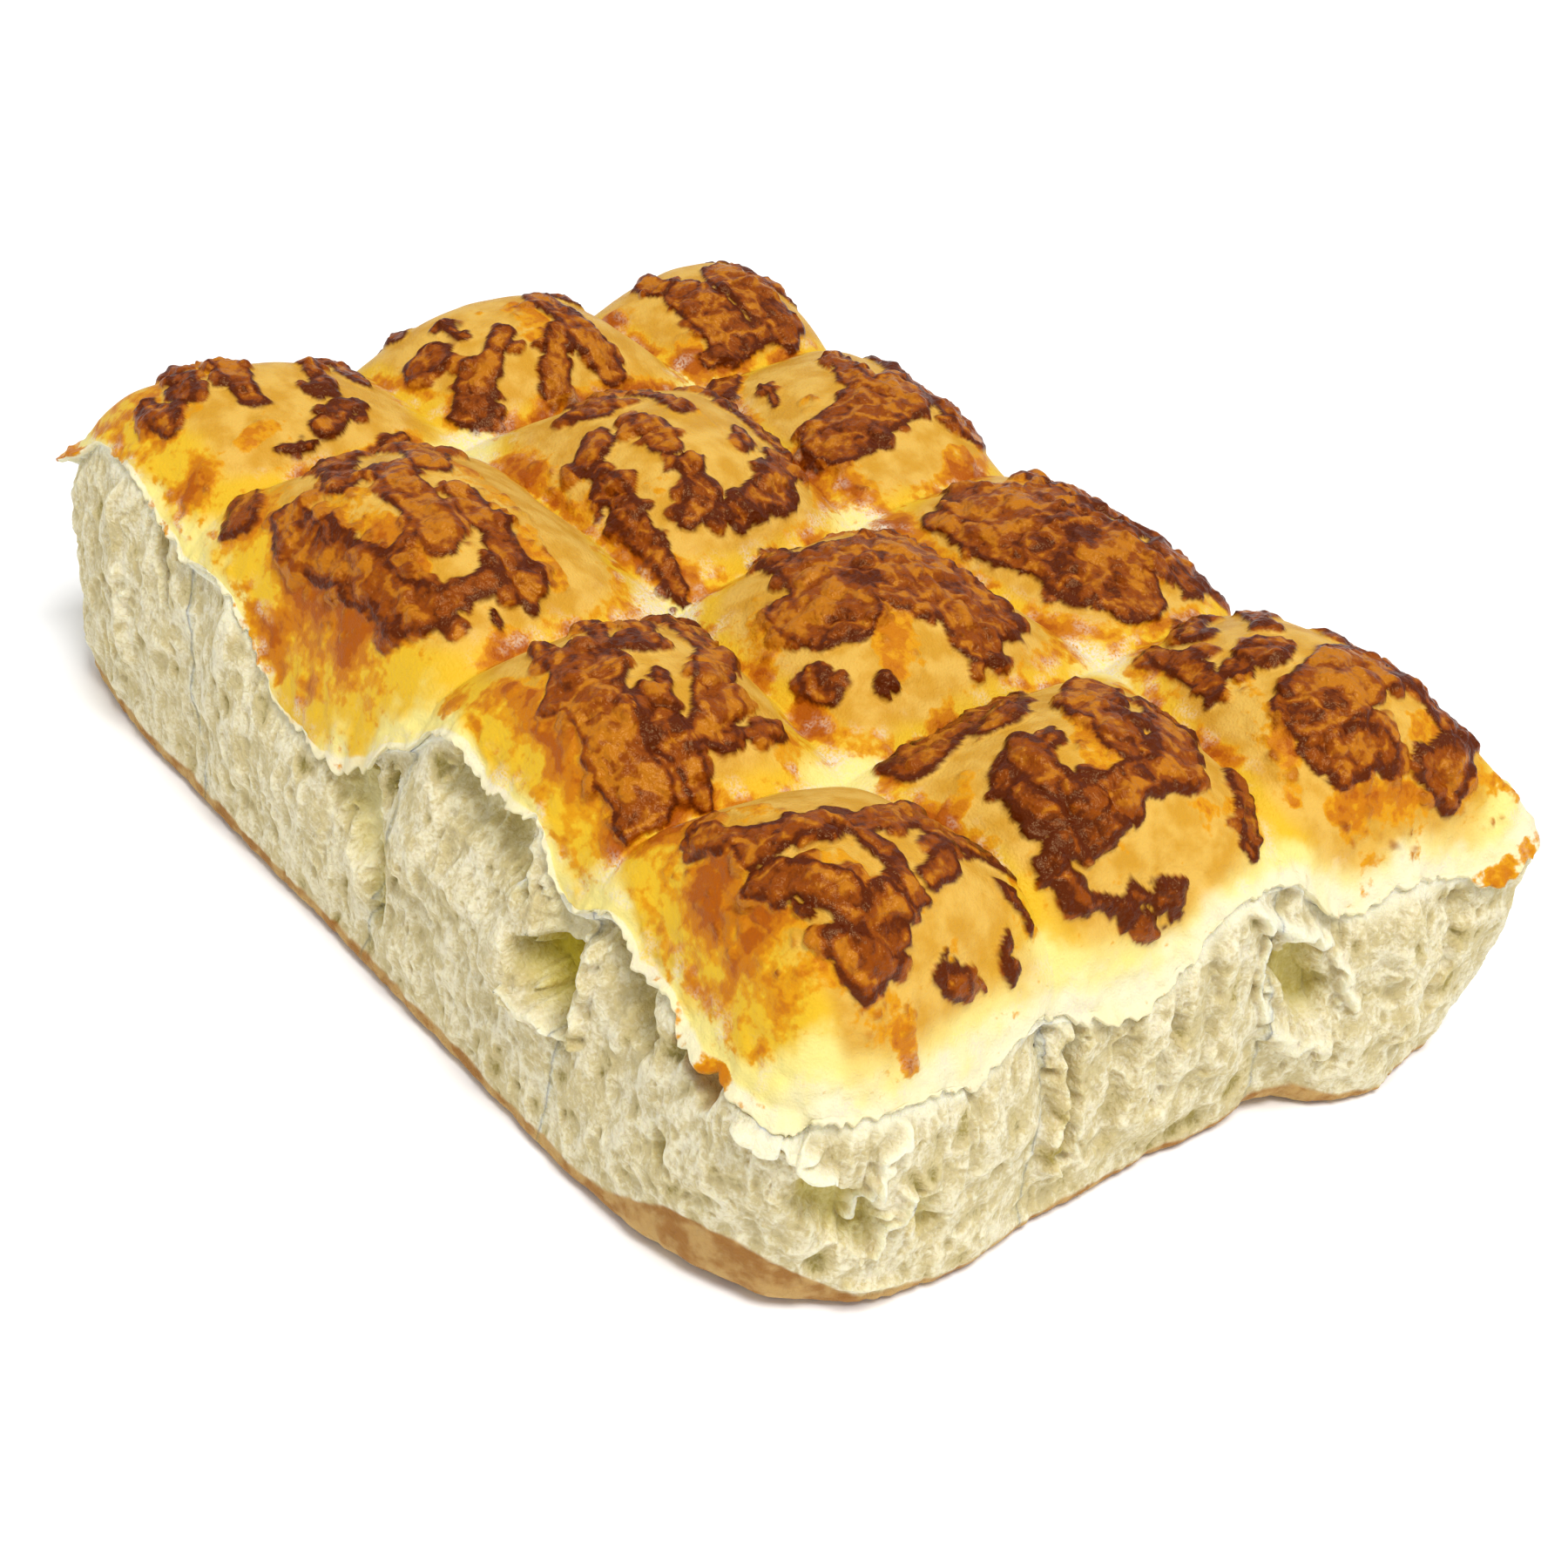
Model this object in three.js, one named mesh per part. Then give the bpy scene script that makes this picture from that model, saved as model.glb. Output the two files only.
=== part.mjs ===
// Pull-apart dinner rolls: twelve rolls baked side by side, torn from a larger batch in one slab.
// Millimetres, +Z up. X runs along the four rolls of the long side, Y across the three rolls.
// The origin is the middle of the flat base.

import * as THREE from "three";

// ---- Driving dimensions -------------------------------------------------------------------

// Where the creases between the rolls cross, seen from above, row by row along +Y.
const CROSSINGS = [
  [[-121, -82], [-68, -84], [6, -83], [58.5, -82.5], [116, -80]],
  [[-113, -27], [-66, -24], [5, -24], [62, -30], [112, -23]],
  [[-113, 30.5], [-65, 34], [-5, 26.5], [56.5, 35], [114, 25.5]],
  [[-116, 80], [-69, 81], [-9, 80], [54, 80], [121, 82]],
];

// Height of each roll's crown above the base, in the same order.
const CROWN_HEIGHTS = [
  [70, 75, 75, 74],
  [74.5, 76, 75, 74],
  [71, 70, 70, 73],
];

const CREASE_HEIGHT = 62;
const CROSSING_DIP = 2.5;
const CROWN_POWER = 2.3;
const CROSSING_POWER = 4;

// How far the torn rim of each outer roll hangs below the creases: start, middle and end of the roll.
const RIM_DROP = {
  south: [[5.5, 4, 9], [9, 26, 9], [9, 5, 11], [11, 16, 9]],
  east: [[9, 25, 16], [16, 20, 8], [8, 19, 8]],
  north: [[10, 17, 13], [13, 20, 13], [13, 20, 10], [10, 13, 7]],
  west: [[5.5, 14, 12], [12, 6, 12], [12, 8, 10]],
};
const SHOULDER_REACH = 0.46;
const SHOULDER_POWER = 3;

// How far the rim stands out from the line between the crossings: start, middle and end of the roll.
const RIM_OUT = {
  south: [[-1, -1, -1], [-1, -0.5, -3], [-3, -5, -4], [-4, -3, -1]],
  east: [[-1, 0, -1], [-1, 0, -1], [-1, 0, 0]],
  north: [[0, 2, -1], [-1, 2, -1], [-1, 2, -1], [-1, 2, 0]],
  west: [[-1, 2, -1], [-1, 2, -1], [-1, 2, 0]],
};
const RIM_REACH = 0.5;

// The four corners of the slab are rounded by pulling them in, at the rim and at the base.
const CORNER_PULL = {
  rim: { southwest: 1, southeast: 6, northeast: -1, northwest: 5, power: 5 },
  base: { southwest: 4, southeast: 8, northeast: 2, northwest: 6, power: 3 },
};

// The outline of the base, side by side: the line of each torn face where it meets the base, and how
// far the outline stands out from it at the start, middle and end of each roll.
const BASE_SIDE = { south: -83, east: 115, north: 83, west: -115 };
const BASE_OUT = {
  south: [[2.5, 2.2, 2], [2, 2, 2], [2, 2, 2], [2, 1.8, 1]],
  east: [[1.5, 3.8, 2.2], [2.2, 0, 0.3], [0.3, 9, 3.5]],
  north: [[1, 1.5, 1], [1, 1.5, 1], [1, 1, 0.5], [0.5, 0.5, 3.5]],
  west: [[2.5, 1.5, 1], [1, 0.5, 1], [1, 1, 1]],
};

// The baked lower edge rolls under by a small radius, larger at two places on the short torn side.
// It turns in towards a core rectangle that lies this far inside the base outline.
const EDGE_RADIUS = 3.5;
const EDGE_SWELLS = [
  { at: [100, -77], reach: 24, extra: 4 },
  { at: [114, 34], reach: 9, extra: 5 },
];
const CORE_INSET = 30;

// Slots between neighbouring rolls on the torn faces, and the deeper hollows torn at two of them.
const SLOT_DEPTH = 4.5;
const SLOT_WIDTH = 4.5;
const SLOT_FOOT = 0.25;
const HOLLOWS = [
  { at: [54, -81, 38], width: 8, height: 11, depth: 13 },
  { at: [114, 36, 29], width: 8, height: 10, depth: 12 },
  { at: [0, -84, 31], width: 7, height: 8, depth: 4 },
  { at: [31, -80, 50], width: 14, height: 6, depth: 4 },
  { at: [70, -80, 43], width: 8, height: 7, depth: 5 },
  { at: [112, -70, 23], width: 9, height: 6, depth: 4 },
];

// The crust overhangs the torn crumb a little, and the crumb is lumpy.
const FACE_BELLY = 1.5;
const RIM_UNDERCUT = 2.2;
const UNDERCUT_REACH = 0.07;
const CRUMB_LUMPS = [
  { size: 13, height: 1.3 },
  { size: 6, height: 0.7 },
];
const RIM_RAGGEDNESS = { size: 9, height: 1.6 };

// Browned cheese lies on each roll in strands: from and to in roll units (-1 to 1 across the roll),
// and the strand's half width in the same units.
const CHEESE_RISE = 1.7;
const CHEESE_EDGE = 0.07;
const CHEESE_LUMPS = { size: 5, height: 0.6 };
const CHEESE_STRANDS = [
  [
    [
      [-0.2, 0.4, 0.3, 0.35, 0.08], [0.5, 0.4, 0.7, 0.15, 0.12], [-0.3, -0.1, 0.25, -0.15, 0.12],
      [-0.3, -0.4, -0.05, -0.55, 0.1], [-0.3, -0.7, 0.15, -0.7, 0.08], [0.78, -0.05, 0.82, -0.2, 0.06],
      [0.85, 0.6, 0.9, 0.5, 0.08], [-0.8, 0.3, -0.6, -0.3, 0.12], [-0.5, 0.7, 0.1, 0.75, 0.1],
    ],
    [
      [0.1, 0.15, 0.75, 0.1, 0.13], [-0.3, -0.05, 0.3, -0.2, 0.15], [0.65, -0.1, 0.65, -0.55, 0.09],
      [-0.45, -0.65, 0.6, -0.55, 0.12], [-0.95, 0.1, -0.4, -0.35, 0.12], [-0.95, -0.6, -0.75, -0.75, 0.1],
      [0.22, -0.3, 0.25, -0.5, 0.06], [0.8, -0.2, 0.84, -0.2, 0.05], [-0.9, 0.6, -0.3, 0.2, 0.15],
    ],
    [
      [-0.9, 0.9, 0.2, 0.5, 0.15], [0.2, 0.5, 0.6, 0.2, 0.15], [0.67, 0.65, 0.67, 0.4, 0.08],
      [0.62, 0.2, 0.65, -0.05, 0.08], [-0.45, 0.3, -0.15, 0.2, 0.1], [-0.75, 0.15, -0.3, 0, 0.07],
      [0.15, 0.1, 0.3, 0, 0.08], [-0.35, -0.1, 0, -0.2, 0.15], [-0.2, -0.25, 0, -0.45, 0.2],
      [-0.6, -0.3, -0.4, -0.35, 0.06], [0.3, -0.1, 0.9, -0.1, 0.12], [0.1, -0.35, 0.9, -0.5, 0.22],
    ],
    [
      [0.2, 0.95, 0.1, 0.7, 0.25], [-0.02, 0.6, -0.03, 0.1, 0.15], [0.38, 0.45, 0.42, 0.3, 0.1],
      [0, 0.1, 0.5, 0.12, 0.1], [0.62, 0.2, 0.62, -0.5, 0.1], [0.6, -0.5, 0, -0.5, 0.13],
      [-0.1, 0, -0.2, -0.4, 0.14], [-0.25, -0.4, -0.55, -0.55, 0.12], [-0.72, -0.3, -0.62, -0.6, 0.05],
      [0.6, 0.95, 0.9, 0.85, 0.12], [0.88, 0.6, 0.82, 0.2, 0.06],
    ],
  ],
  [
    [
      [-0.1, 0.25, 0.8, 0.3, 0.15], [0.4, 0.1, 0.8, -0.2, 0.12], [0.25, -0.25, 0.5, -0.5, 0.1],
      [0.5, -0.6, 0.75, -0.8, 0.15], [-0.2, -0.5, 0.1, -0.45, 0.06], [0.05, -0.75, 0.1, -0.7, 0.15],
      [-0.9, -0.5, -0.5, -0.7, 0.08], [-0.8, 0.5, -0.3, 0.6, 0.14],
    ],
    [
      [0.5, 0.65, 0.7, 0.3, 0.15], [0.7, 0.3, 0.72, -0.1, 0.12], [0.2, 0.4, 0.35, 0.35, 0.08],
      [-0.5, 0.1, -0.15, 0.1, 0.1], [-0.95, 0.15, -0.5, -0.35, 0.15], [-0.05, -0.25, 0.15, -0.25, 0.13],
      [0.4, -0.25, 0.6, -0.3, 0.12], [0.6, -0.35, 0.62, -0.5, 0.1], [-0.2, -0.55, -0.15, -0.7, 0.12],
      [0.1, -0.75, 0.9, -0.85, 0.1], [-0.6, 0.8, 0.2, 0.75, 0.15],
    ],
    [
      [-0.4, 0.6, 0.5, 0.4, 0.25], [-0.3, 0.1, 0.2, 0.1, 0.3], [-0.35, -0.3, 0.1, -0.4, 0.25],
      [0.3, 0.2, 0.65, 0.2, 0.2], [-0.2, -0.65, 0.1, -0.6, 0.12], [-1, 0, -0.6, -0.35, 0.12],
      [0.62, -0.5, 0.66, -0.5, 0.08], [0.3, -0.78, 0.5, -0.8, 0.07],
    ],
    [
      [-0.95, 0.05, -0.6, -0.25, 0.18], [-0.8, -0.4, -0.75, -0.7, 0.2], [-0.5, 0.45, -0.2, 0.15, 0.2],
      [-0.2, 0.2, 0.2, 0.1, 0.17], [-0.1, 0.7, 0.35, 0.4, 0.2], [0.45, 0.35, 0.35, -0.35, 0.12],
      [0.5, -0.1, 0.5, -0.5, 0.1], [-0.15, -0.45, 0.25, -0.5, 0.12], [-0.05, -0.65, 0.5, -0.65, 0.1],
      [0.5, -0.6, 0.85, -0.7, 0.15], [0.65, 0.9, 0.75, 0.6, 0.1], [-0.1, -0.2, -0.05, -0.35, 0.06],
    ],
  ],
  [
    [
      [0, 0.1, 0.7, 0.1, 0.25], [0.1, -0.4, 0.7, -0.4, 0.25], [0.75, 0.3, 0.8, -0.7, 0.12],
      [-0.35, -0.5, -0.25, -0.5, 0.15], [-0.7, 0.6, 0.2, 0.6, 0.2],
    ],
    [
      [-0.5, 0.1, -0.1, -0.1, 0.12], [0.2, 0.1, 0.3, -0.6, 0.3], [-0.6, -0.65, -0.35, -0.7, 0.06],
      [-0.9, -0.75, -0.8, -0.9, 0.12], [-0.4, 0.6, 0.6, 0.5, 0.2],
    ],
    [
      [-0.5, -0.3, 0.6, -0.3, 0.33], [-0.3, 0.05, 0.5, 0.1, 0.2], [-0.6, -0.7, 0.5, -0.65, 0.13],
      [0.5, 0.3, 0.8, 0.3, 0.12], [-0.5, 0.5, 0.6, 0.6, 0.25],
    ],
    [
      [-0.95, -0.05, -0.7, -0.35, 0.12], [-0.22, -0.1, -0.2, -0.5, 0.12], [-0.8, -0.65, -0.2, -0.7, 0.12],
      [0.15, 0.3, 0.3, -0.4, 0.24], [0.6, 0, 0.55, -0.5, 0.12], [0.7, 0.6, 0.75, 0.35, 0.12],
      [-0.2, 0.65, 0.5, 0.65, 0.18], [-0.7, 0.3, -0.5, 0.1, 0.1],
    ],
  ],
];

// Fineness of the faceted surface.
const STEPS_PER_ROLL = 14;
const FACE_ROWS = 9;
const EDGE_ROWS = 3;

const CRUST_COLOR = 0xd9a04a;
const CRUST_ROUGHNESS = 0.55;

// ---- Noise ---------------------------------------------------------------------------------

const HASH_STRIDE = [127.1, 311.7, 74.7];
const HASH_GAIN = 43758.5453;

/** A repeatable number from -1 to 1 for a whole-number place. */
function hash(i, j, k) {
  const s = Math.sin(i * HASH_STRIDE[0] + j * HASH_STRIDE[1] + k * HASH_STRIDE[2]) * HASH_GAIN;
  return 2 * (s - Math.floor(s)) - 1;
}

/** Smooth lumps of the given size, from -1 to 1, at a point. */
function lumps(point, size) {
  const cell = point.map((c) => Math.floor(c / size));
  const part = point.map((c, axis) => {
    const f = c / size - cell[axis];
    return f * f * (3 - 2 * f);
  });
  let sum = 0;
  for (let corner = 0; corner < 8; corner += 1) {
    const bit = [corner & 1, (corner >> 1) & 1, corner >> 2];
    const weight = bit.reduce((w, b, axis) => w * (b ? part[axis] : 1 - part[axis]), 1);
    sum += weight * hash(cell[0] + bit[0], cell[1] + bit[1], cell[2] + bit[2]);
  }
  return sum;
}

// ---- The slab's plan -----------------------------------------------------------------------

const LONG_ROLLS = CROSSINGS[0].length - 1;
const SHORT_ROLLS = CROSSINGS.length - 1;

const mix = (a, b, f) => a + (b - a) * f;
const clamp01 = (v) => Math.min(Math.max(v, 0), 1);

/** Splits a place along a row of rolls into the roll's number and the part of it, 0 to 1. */
function rollAt(place, count) {
  const number = Math.min(Math.floor(place), count - 1);
  return [number, place - number];
}

/** How much a value given at the start, middle and end of each roll is at a place along a side. */
function alongSide(values, place) {
  const [number, part] = rollAt(place, values.length);
  const [start, middle, end] = values[number];
  const hump = Math.sin(Math.PI * part);
  return mix(start, end, part) + (middle - (start + end) / 2) * hump;
}

/** The pull that rounds the slab's four corners, as a shift in X and Y, at rim or base. */
function cornerShift(s, t, pull) {
  const [i, f] = rollAt(s, LONG_ROLLS);
  const [j, g] = rollAt(t, SHORT_ROLLS);
  const shift = [0, 0];
  const corners = [
    [i === 0 && j === 0, 1 - f, 1 - g, pull.southwest, 1, 1],
    [i === LONG_ROLLS - 1 && j === 0, f, 1 - g, pull.southeast, -1, 1],
    [i === LONG_ROLLS - 1 && j === SHORT_ROLLS - 1, f, g, pull.northeast, -1, -1],
    [i === 0 && j === SHORT_ROLLS - 1, 1 - f, g, pull.northwest, 1, -1],
  ];
  for (const [here, a, b, amount, dx, dy] of corners) {
    const strength = here ? amount * (a * b) ** pull.power : 0;
    shift[0] += dx * strength;
    shift[1] += dy * strength;
  }
  return shift;
}

/** How strongly each side acts at a place: 1 on the side, 0 from `reach` rolls inward. */
function nearness(s, t, reach, power) {
  const fade = (d) => clamp01(1 - d / reach) ** power;
  return { south: fade(t), north: fade(SHORT_ROLLS - t), west: fade(s), east: fade(LONG_ROLLS - s) };
}

// ---- The baked top -------------------------------------------------------------------------

/** Distance from a point to a strand's middle line, less its half width, in roll units. */
function strandGap(u, v, [u0, v0, u1, v1, half]) {
  const du = u1 - u0;
  const dv = v1 - v0;
  const along = clamp01(((u - u0) * du + (v - v0) * dv) / (du * du + dv * dv));
  return Math.hypot(u - u0 - du * along, v - v0 - dv * along) - half;
}

/** How far the cheese stands above the crust at a place on a roll. */
function cheeseRise(i, j, u, v, x, y) {
  const gap = Math.min(...CHEESE_STRANDS[j][i].map((strand) => strandGap(u, v, strand)));
  const cover = clamp01(0.5 - gap / CHEESE_EDGE);
  return cover * (CHEESE_RISE + CHEESE_LUMPS.height * lumps([x, y, 0], CHEESE_LUMPS.size));
}

/** A point of the baked top: s runs 0 to 4 along the slab, t runs 0 to 3 across it. */
function topPoint(s, t) {
  const [i, f] = rollAt(s, LONG_ROLLS);
  const [j, g] = rollAt(t, SHORT_ROLLS);
  const u = 2 * f - 1;
  const v = 2 * g - 1;
  const between = (axis) => mix(
    mix(CROSSINGS[j][i][axis], CROSSINGS[j][i + 1][axis], f),
    mix(CROSSINGS[j + 1][i][axis], CROSSINGS[j + 1][i + 1][axis], f),
    g,
  );
  const near = nearness(s, t, RIM_REACH, 2);
  const shift = cornerShift(s, t, CORNER_PULL.rim);
  const outX = alongSide(RIM_OUT.east, t) * near.east - alongSide(RIM_OUT.west, t) * near.west;
  const outY = alongSide(RIM_OUT.north, s) * near.north - alongSide(RIM_OUT.south, s) * near.south;
  const x = between(0) + outX + shift[0];
  const y = between(1) + outY + shift[1];

  const crown = (1 - Math.abs(u) ** CROWN_POWER) * (1 - Math.abs(v) ** CROWN_POWER);
  const dip = CROSSING_DIP * Math.abs(u * v) ** CROSSING_POWER;
  const shoulder = nearness(s, t, SHOULDER_REACH, SHOULDER_POWER);
  const fall = alongSide(RIM_DROP.south, s) * shoulder.south
    + alongSide(RIM_DROP.north, s) * shoulder.north
    + alongSide(RIM_DROP.west, t) * shoulder.west
    + alongSide(RIM_DROP.east, t) * shoulder.east;
  const onRim = Math.max(...Object.values(shoulder));
  const ragged = RIM_RAGGEDNESS.height * lumps([x, y, 0], RIM_RAGGEDNESS.size) * onRim ** SHOULDER_POWER;
  const z = CREASE_HEIGHT - dip + (CROWN_HEIGHTS[j][i] - CREASE_HEIGHT) * crown - fall + ragged;
  return [x, y, z + cheeseRise(i, j, u, v, x, y) * (1 - onRim)];
}

// ---- The torn sides ------------------------------------------------------------------------

/** A point of the base outline under a place on the slab's edge. */
function basePoint(s, t, side) {
  const along = side === "south" || side === "north";
  const outward = Math.sign(BASE_SIDE[side]);
  const across = BASE_SIDE[side] + outward * alongSide(BASE_OUT[side], along ? s : t);
  const x = along ? mix(BASE_SIDE.west, BASE_SIDE.east, s / LONG_ROLLS) : across;
  const y = along ? across : mix(BASE_SIDE.south, BASE_SIDE.north, t / SHORT_ROLLS);
  const shift = cornerShift(s, t, CORNER_PULL.base);
  return [x + shift[0], y + shift[1]];
}

/** The places round the slab's edge, anticlockwise seen from above, each with its side's name. */
function edgePlaces() {
  const places = [];
  const long = LONG_ROLLS * STEPS_PER_ROLL;
  const short = SHORT_ROLLS * STEPS_PER_ROLL;
  for (let n = 0; n < long; n += 1) places.push([n / STEPS_PER_ROLL, 0, "south"]);
  for (let n = 0; n < short; n += 1) places.push([LONG_ROLLS, n / STEPS_PER_ROLL, "east"]);
  for (let n = long; n > 0; n -= 1) places.push([n / STEPS_PER_ROLL, SHORT_ROLLS, "north"]);
  for (let n = short; n > 0; n -= 1) places.push([0, n / STEPS_PER_ROLL, "west"]);
  return places;
}

/** The radius of the rolled lower edge at a place. */
function edgeRadius(x, y) {
  return EDGE_SWELLS.reduce((radius, { at, reach, extra }) => {
    const away = Math.hypot(x - at[0], y - at[1]) / reach;
    return radius + extra * Math.exp(-away * away);
  }, EDGE_RADIUS);
}

/** How far the torn face stands out (or is torn in) at a point, `down` 0 at the rim, 1 at the foot. */
function faceRelief(point, place, down) {
  const [s, t, side] = place;
  const row = side === "south" || side === "north" ? s : t;
  const rollLength = side === "south" || side === "north"
    ? (BASE_SIDE.east - BASE_SIDE.west) / LONG_ROLLS
    : (BASE_SIDE.north - BASE_SIDE.south) / SHORT_ROLLS;
  const last = side === "south" || side === "north" ? LONG_ROLLS : SHORT_ROLLS;
  const nearest = Math.min(Math.max(Math.round(row), 1), last - 1);
  const fromSlot = ((row - nearest) * rollLength) / SLOT_WIDTH;
  const slot = SLOT_DEPTH * Math.exp(-fromSlot * fromSlot) * mix(1, SLOT_FOOT, down);
  const hollow = HOLLOWS.reduce((depth, h) => {
    const flat = Math.hypot(point[0] - h.at[0], point[1] - h.at[1]) / h.width;
    const tall = (point[2] - h.at[2]) / h.height;
    return depth + h.depth * Math.exp(-(flat ** 4) - tall ** 4);
  }, 0);
  const undercut = RIM_UNDERCUT * (down / UNDERCUT_REACH) * Math.exp(1 - down / UNDERCUT_REACH);
  const crumb = CRUMB_LUMPS.reduce((sum, { size, height }) => sum + height * lumps(point, size), 0);
  const belly = FACE_BELLY * Math.sin(Math.PI * down);
  return belly + (crumb - slot - hollow - undercut) * Math.sin((Math.PI / 2) * clamp01(4 * down));
}

/** One ring of points round the slab's edge at a given depth of the torn face. */
function faceRing(places, down) {
  const plain = places.map((place) => {
    const [s, t, side] = place;
    const rim = topPoint(s, t);
    const base = basePoint(s, t, side);
    const foot = edgeRadius(base[0], base[1]);
    return [mix(rim[0], base[0], down), mix(rim[1], base[1], down), mix(rim[2], foot, down)];
  });
  return plain.map((point, n) => {
    const before = plain[(n + plain.length - 1) % plain.length];
    const after = plain[(n + 1) % plain.length];
    const run = Math.hypot(after[0] - before[0], after[1] - before[1]);
    const out = faceRelief(point, places[n], down) / run;
    return [point[0] + (after[1] - before[1]) * out, point[1] - (after[0] - before[0]) * out, point[2]];
  });
}

/** The rings of the rolled lower edge: a quarter circle from the torn face in to the flat base. */
function edgeRings(foot) {
  const west = BASE_SIDE.west + CORE_INSET;
  const east = BASE_SIDE.east - CORE_INSET;
  const south = BASE_SIDE.south + CORE_INSET;
  const north = BASE_SIDE.north - CORE_INSET;
  const rings = [];
  for (let row = 1; row <= EDGE_ROWS; row += 1) {
    const turn = (Math.PI / 2) * (row / EDGE_ROWS);
    rings.push(foot.map(([x, y, radius]) => {
      const inX = Math.min(Math.max(x, west), east) - x;
      const inY = Math.min(Math.max(y, south), north) - y;
      const inset = (radius * (1 - Math.cos(turn))) / Math.hypot(inX, inY);
      return [x + inX * inset, y + inY * inset, radius * (1 - Math.sin(turn))];
    }));
  }
  return rings;
}

// ---- One closed solid ----------------------------------------------------------------------

/** Builds the whole slab as one closed mesh: baked top, torn faces, rolled edge and flat base. */
function slabGeometry() {
  const points = [];
  const faces = [];
  const columns = LONG_ROLLS * STEPS_PER_ROLL;
  const rows = SHORT_ROLLS * STEPS_PER_ROLL;
  const topIndex = (m, n) => n * (columns + 1) + m;
  for (let n = 0; n <= rows; n += 1) {
    for (let m = 0; m <= columns; m += 1) points.push(topPoint(m / STEPS_PER_ROLL, n / STEPS_PER_ROLL));
  }
  for (let n = 0; n < rows; n += 1) {
    for (let m = 0; m < columns; m += 1) {
      faces.push([topIndex(m, n), topIndex(m + 1, n), topIndex(m + 1, n + 1)]);
      faces.push([topIndex(m, n), topIndex(m + 1, n + 1), topIndex(m, n + 1)]);
    }
  }

  const places = edgePlaces();
  const faceRings = [];
  for (let row = 1; row <= FACE_ROWS; row += 1) faceRings.push(faceRing(places, row / FACE_ROWS));
  const rings = [...faceRings, ...edgeRings(faceRings[FACE_ROWS - 1])];
  const onGrid = (place) => Math.round(place * STEPS_PER_ROLL);
  let upper = places.map(([s, t]) => topIndex(onGrid(s), onGrid(t)));
  for (const ring of rings) {
    const lower = ring.map((point) => points.push(point) - 1);
    lower.forEach((here, n) => {
      const next = (n + 1) % lower.length;
      faces.push([upper[n], here, lower[next]], [upper[n], lower[next], upper[next]]);
    });
    upper = lower;
  }

  const outline = upper.map((index) => new THREE.Vector2(points[index][0], points[index][1]));
  for (const [a, b, c] of THREE.ShapeUtils.triangulateShape(outline, [])) {
    faces.push([upper[a], upper[c], upper[b]]);
  }

  const geometry = new THREE.BufferGeometry();
  geometry.setAttribute("position", new THREE.Float32BufferAttribute(points.flat(), 3));
  geometry.setIndex(faces.flat());
  geometry.computeBoundingBox();
  const middle = geometry.boundingBox.getCenter(new THREE.Vector3());
  geometry.translate(-middle.x, -middle.y, 0);
  geometry.computeVertexNormals();
  return geometry;
}

const group = new THREE.Group();
const crust = new THREE.MeshStandardMaterial({
  color: CRUST_COLOR,
  roughness: CRUST_ROUGHNESS,
  metalness: 0,
});
const rolls = new THREE.Mesh(slabGeometry(), crust);
rolls.name = "rolls";
group.add(rolls);

export default group;
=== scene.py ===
"""The looks of a slab of pull-apart dinner rolls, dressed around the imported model.

The slab is computed as two sheets of points in millimetres: the baked top, and a ring round it of
crust lip, torn faces and rolled lower edge. They are cut along the creases into twelve closed rolls,
and every roll carries its own masks for crust, cheese and crumb, which the finishes read.
"""

import logging
import math
from dataclasses import dataclass, field
from enum import Enum

import bpy
import numpy as np
from mathutils import Matrix, Vector


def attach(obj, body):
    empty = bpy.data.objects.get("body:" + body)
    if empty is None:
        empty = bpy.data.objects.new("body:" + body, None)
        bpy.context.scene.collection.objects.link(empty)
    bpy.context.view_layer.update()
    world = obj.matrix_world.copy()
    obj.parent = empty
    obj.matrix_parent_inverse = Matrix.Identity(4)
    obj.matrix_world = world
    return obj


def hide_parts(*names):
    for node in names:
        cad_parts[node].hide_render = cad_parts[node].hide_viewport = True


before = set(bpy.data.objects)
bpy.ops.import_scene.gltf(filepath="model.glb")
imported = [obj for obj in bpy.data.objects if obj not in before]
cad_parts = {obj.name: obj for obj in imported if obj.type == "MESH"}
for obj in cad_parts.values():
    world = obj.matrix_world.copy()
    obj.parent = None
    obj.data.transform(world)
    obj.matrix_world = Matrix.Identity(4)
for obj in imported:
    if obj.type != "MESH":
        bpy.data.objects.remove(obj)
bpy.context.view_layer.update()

logging.basicConfig(level=logging.INFO, format="%(message)s")
log = logging.getLogger("rolls")

Array = np.ndarray
Color = tuple[float, float, float]
Pitch = float | tuple[float, float, float]
MM = 0.001
NODE = "rolls"

# How much the studio's light brightens a colour.
LIGHT = 1.22

# Where the form's own origin lies in the frame, in mm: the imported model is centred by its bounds.
FORM_ORIGIN = (-1.96, 0.07, 0.0)


# ---- Small helpers --------------------------------------------------------------------------


def srgb(red: int, green: int, blue: int) -> Color:
    """Turn a screen colour seen in the studio's light into the linear colour that shaders use.

    Args:
        red: Red, 0 to 255.
        green: Green, 0 to 255.
        blue: Blue, 0 to 255.

    Returns:
        Linear red, green and blue, divided by the strength of the light.
    """
    linear = (((c / 255 + 0.055) / 1.055) ** 2.4 if c > 10 else c / 3294.6 for c in (red, green, blue))
    return tuple(c / LIGHT for c in linear)


def ramp(value: Array, low: float, high: float) -> Array:
    """Smooth step: 0 below `low`, 1 above `high`, and 3x^2 - 2x^3 of the part between.

    Args:
        value: The numbers to map.
        low: Where the step starts.
        high: Where the step ends.

    Returns:
        Numbers from 0 to 1.
    """
    part = np.clip((value - low) / (high - low), 0.0, 1.0)
    return part * part * (3 - 2 * part)


def mix(first: Array, second: Array, part: Array) -> Array:
    """Blend two arrays: `first` where part is 0 and `second` where it is 1."""
    return first + (second - first) * part


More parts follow.
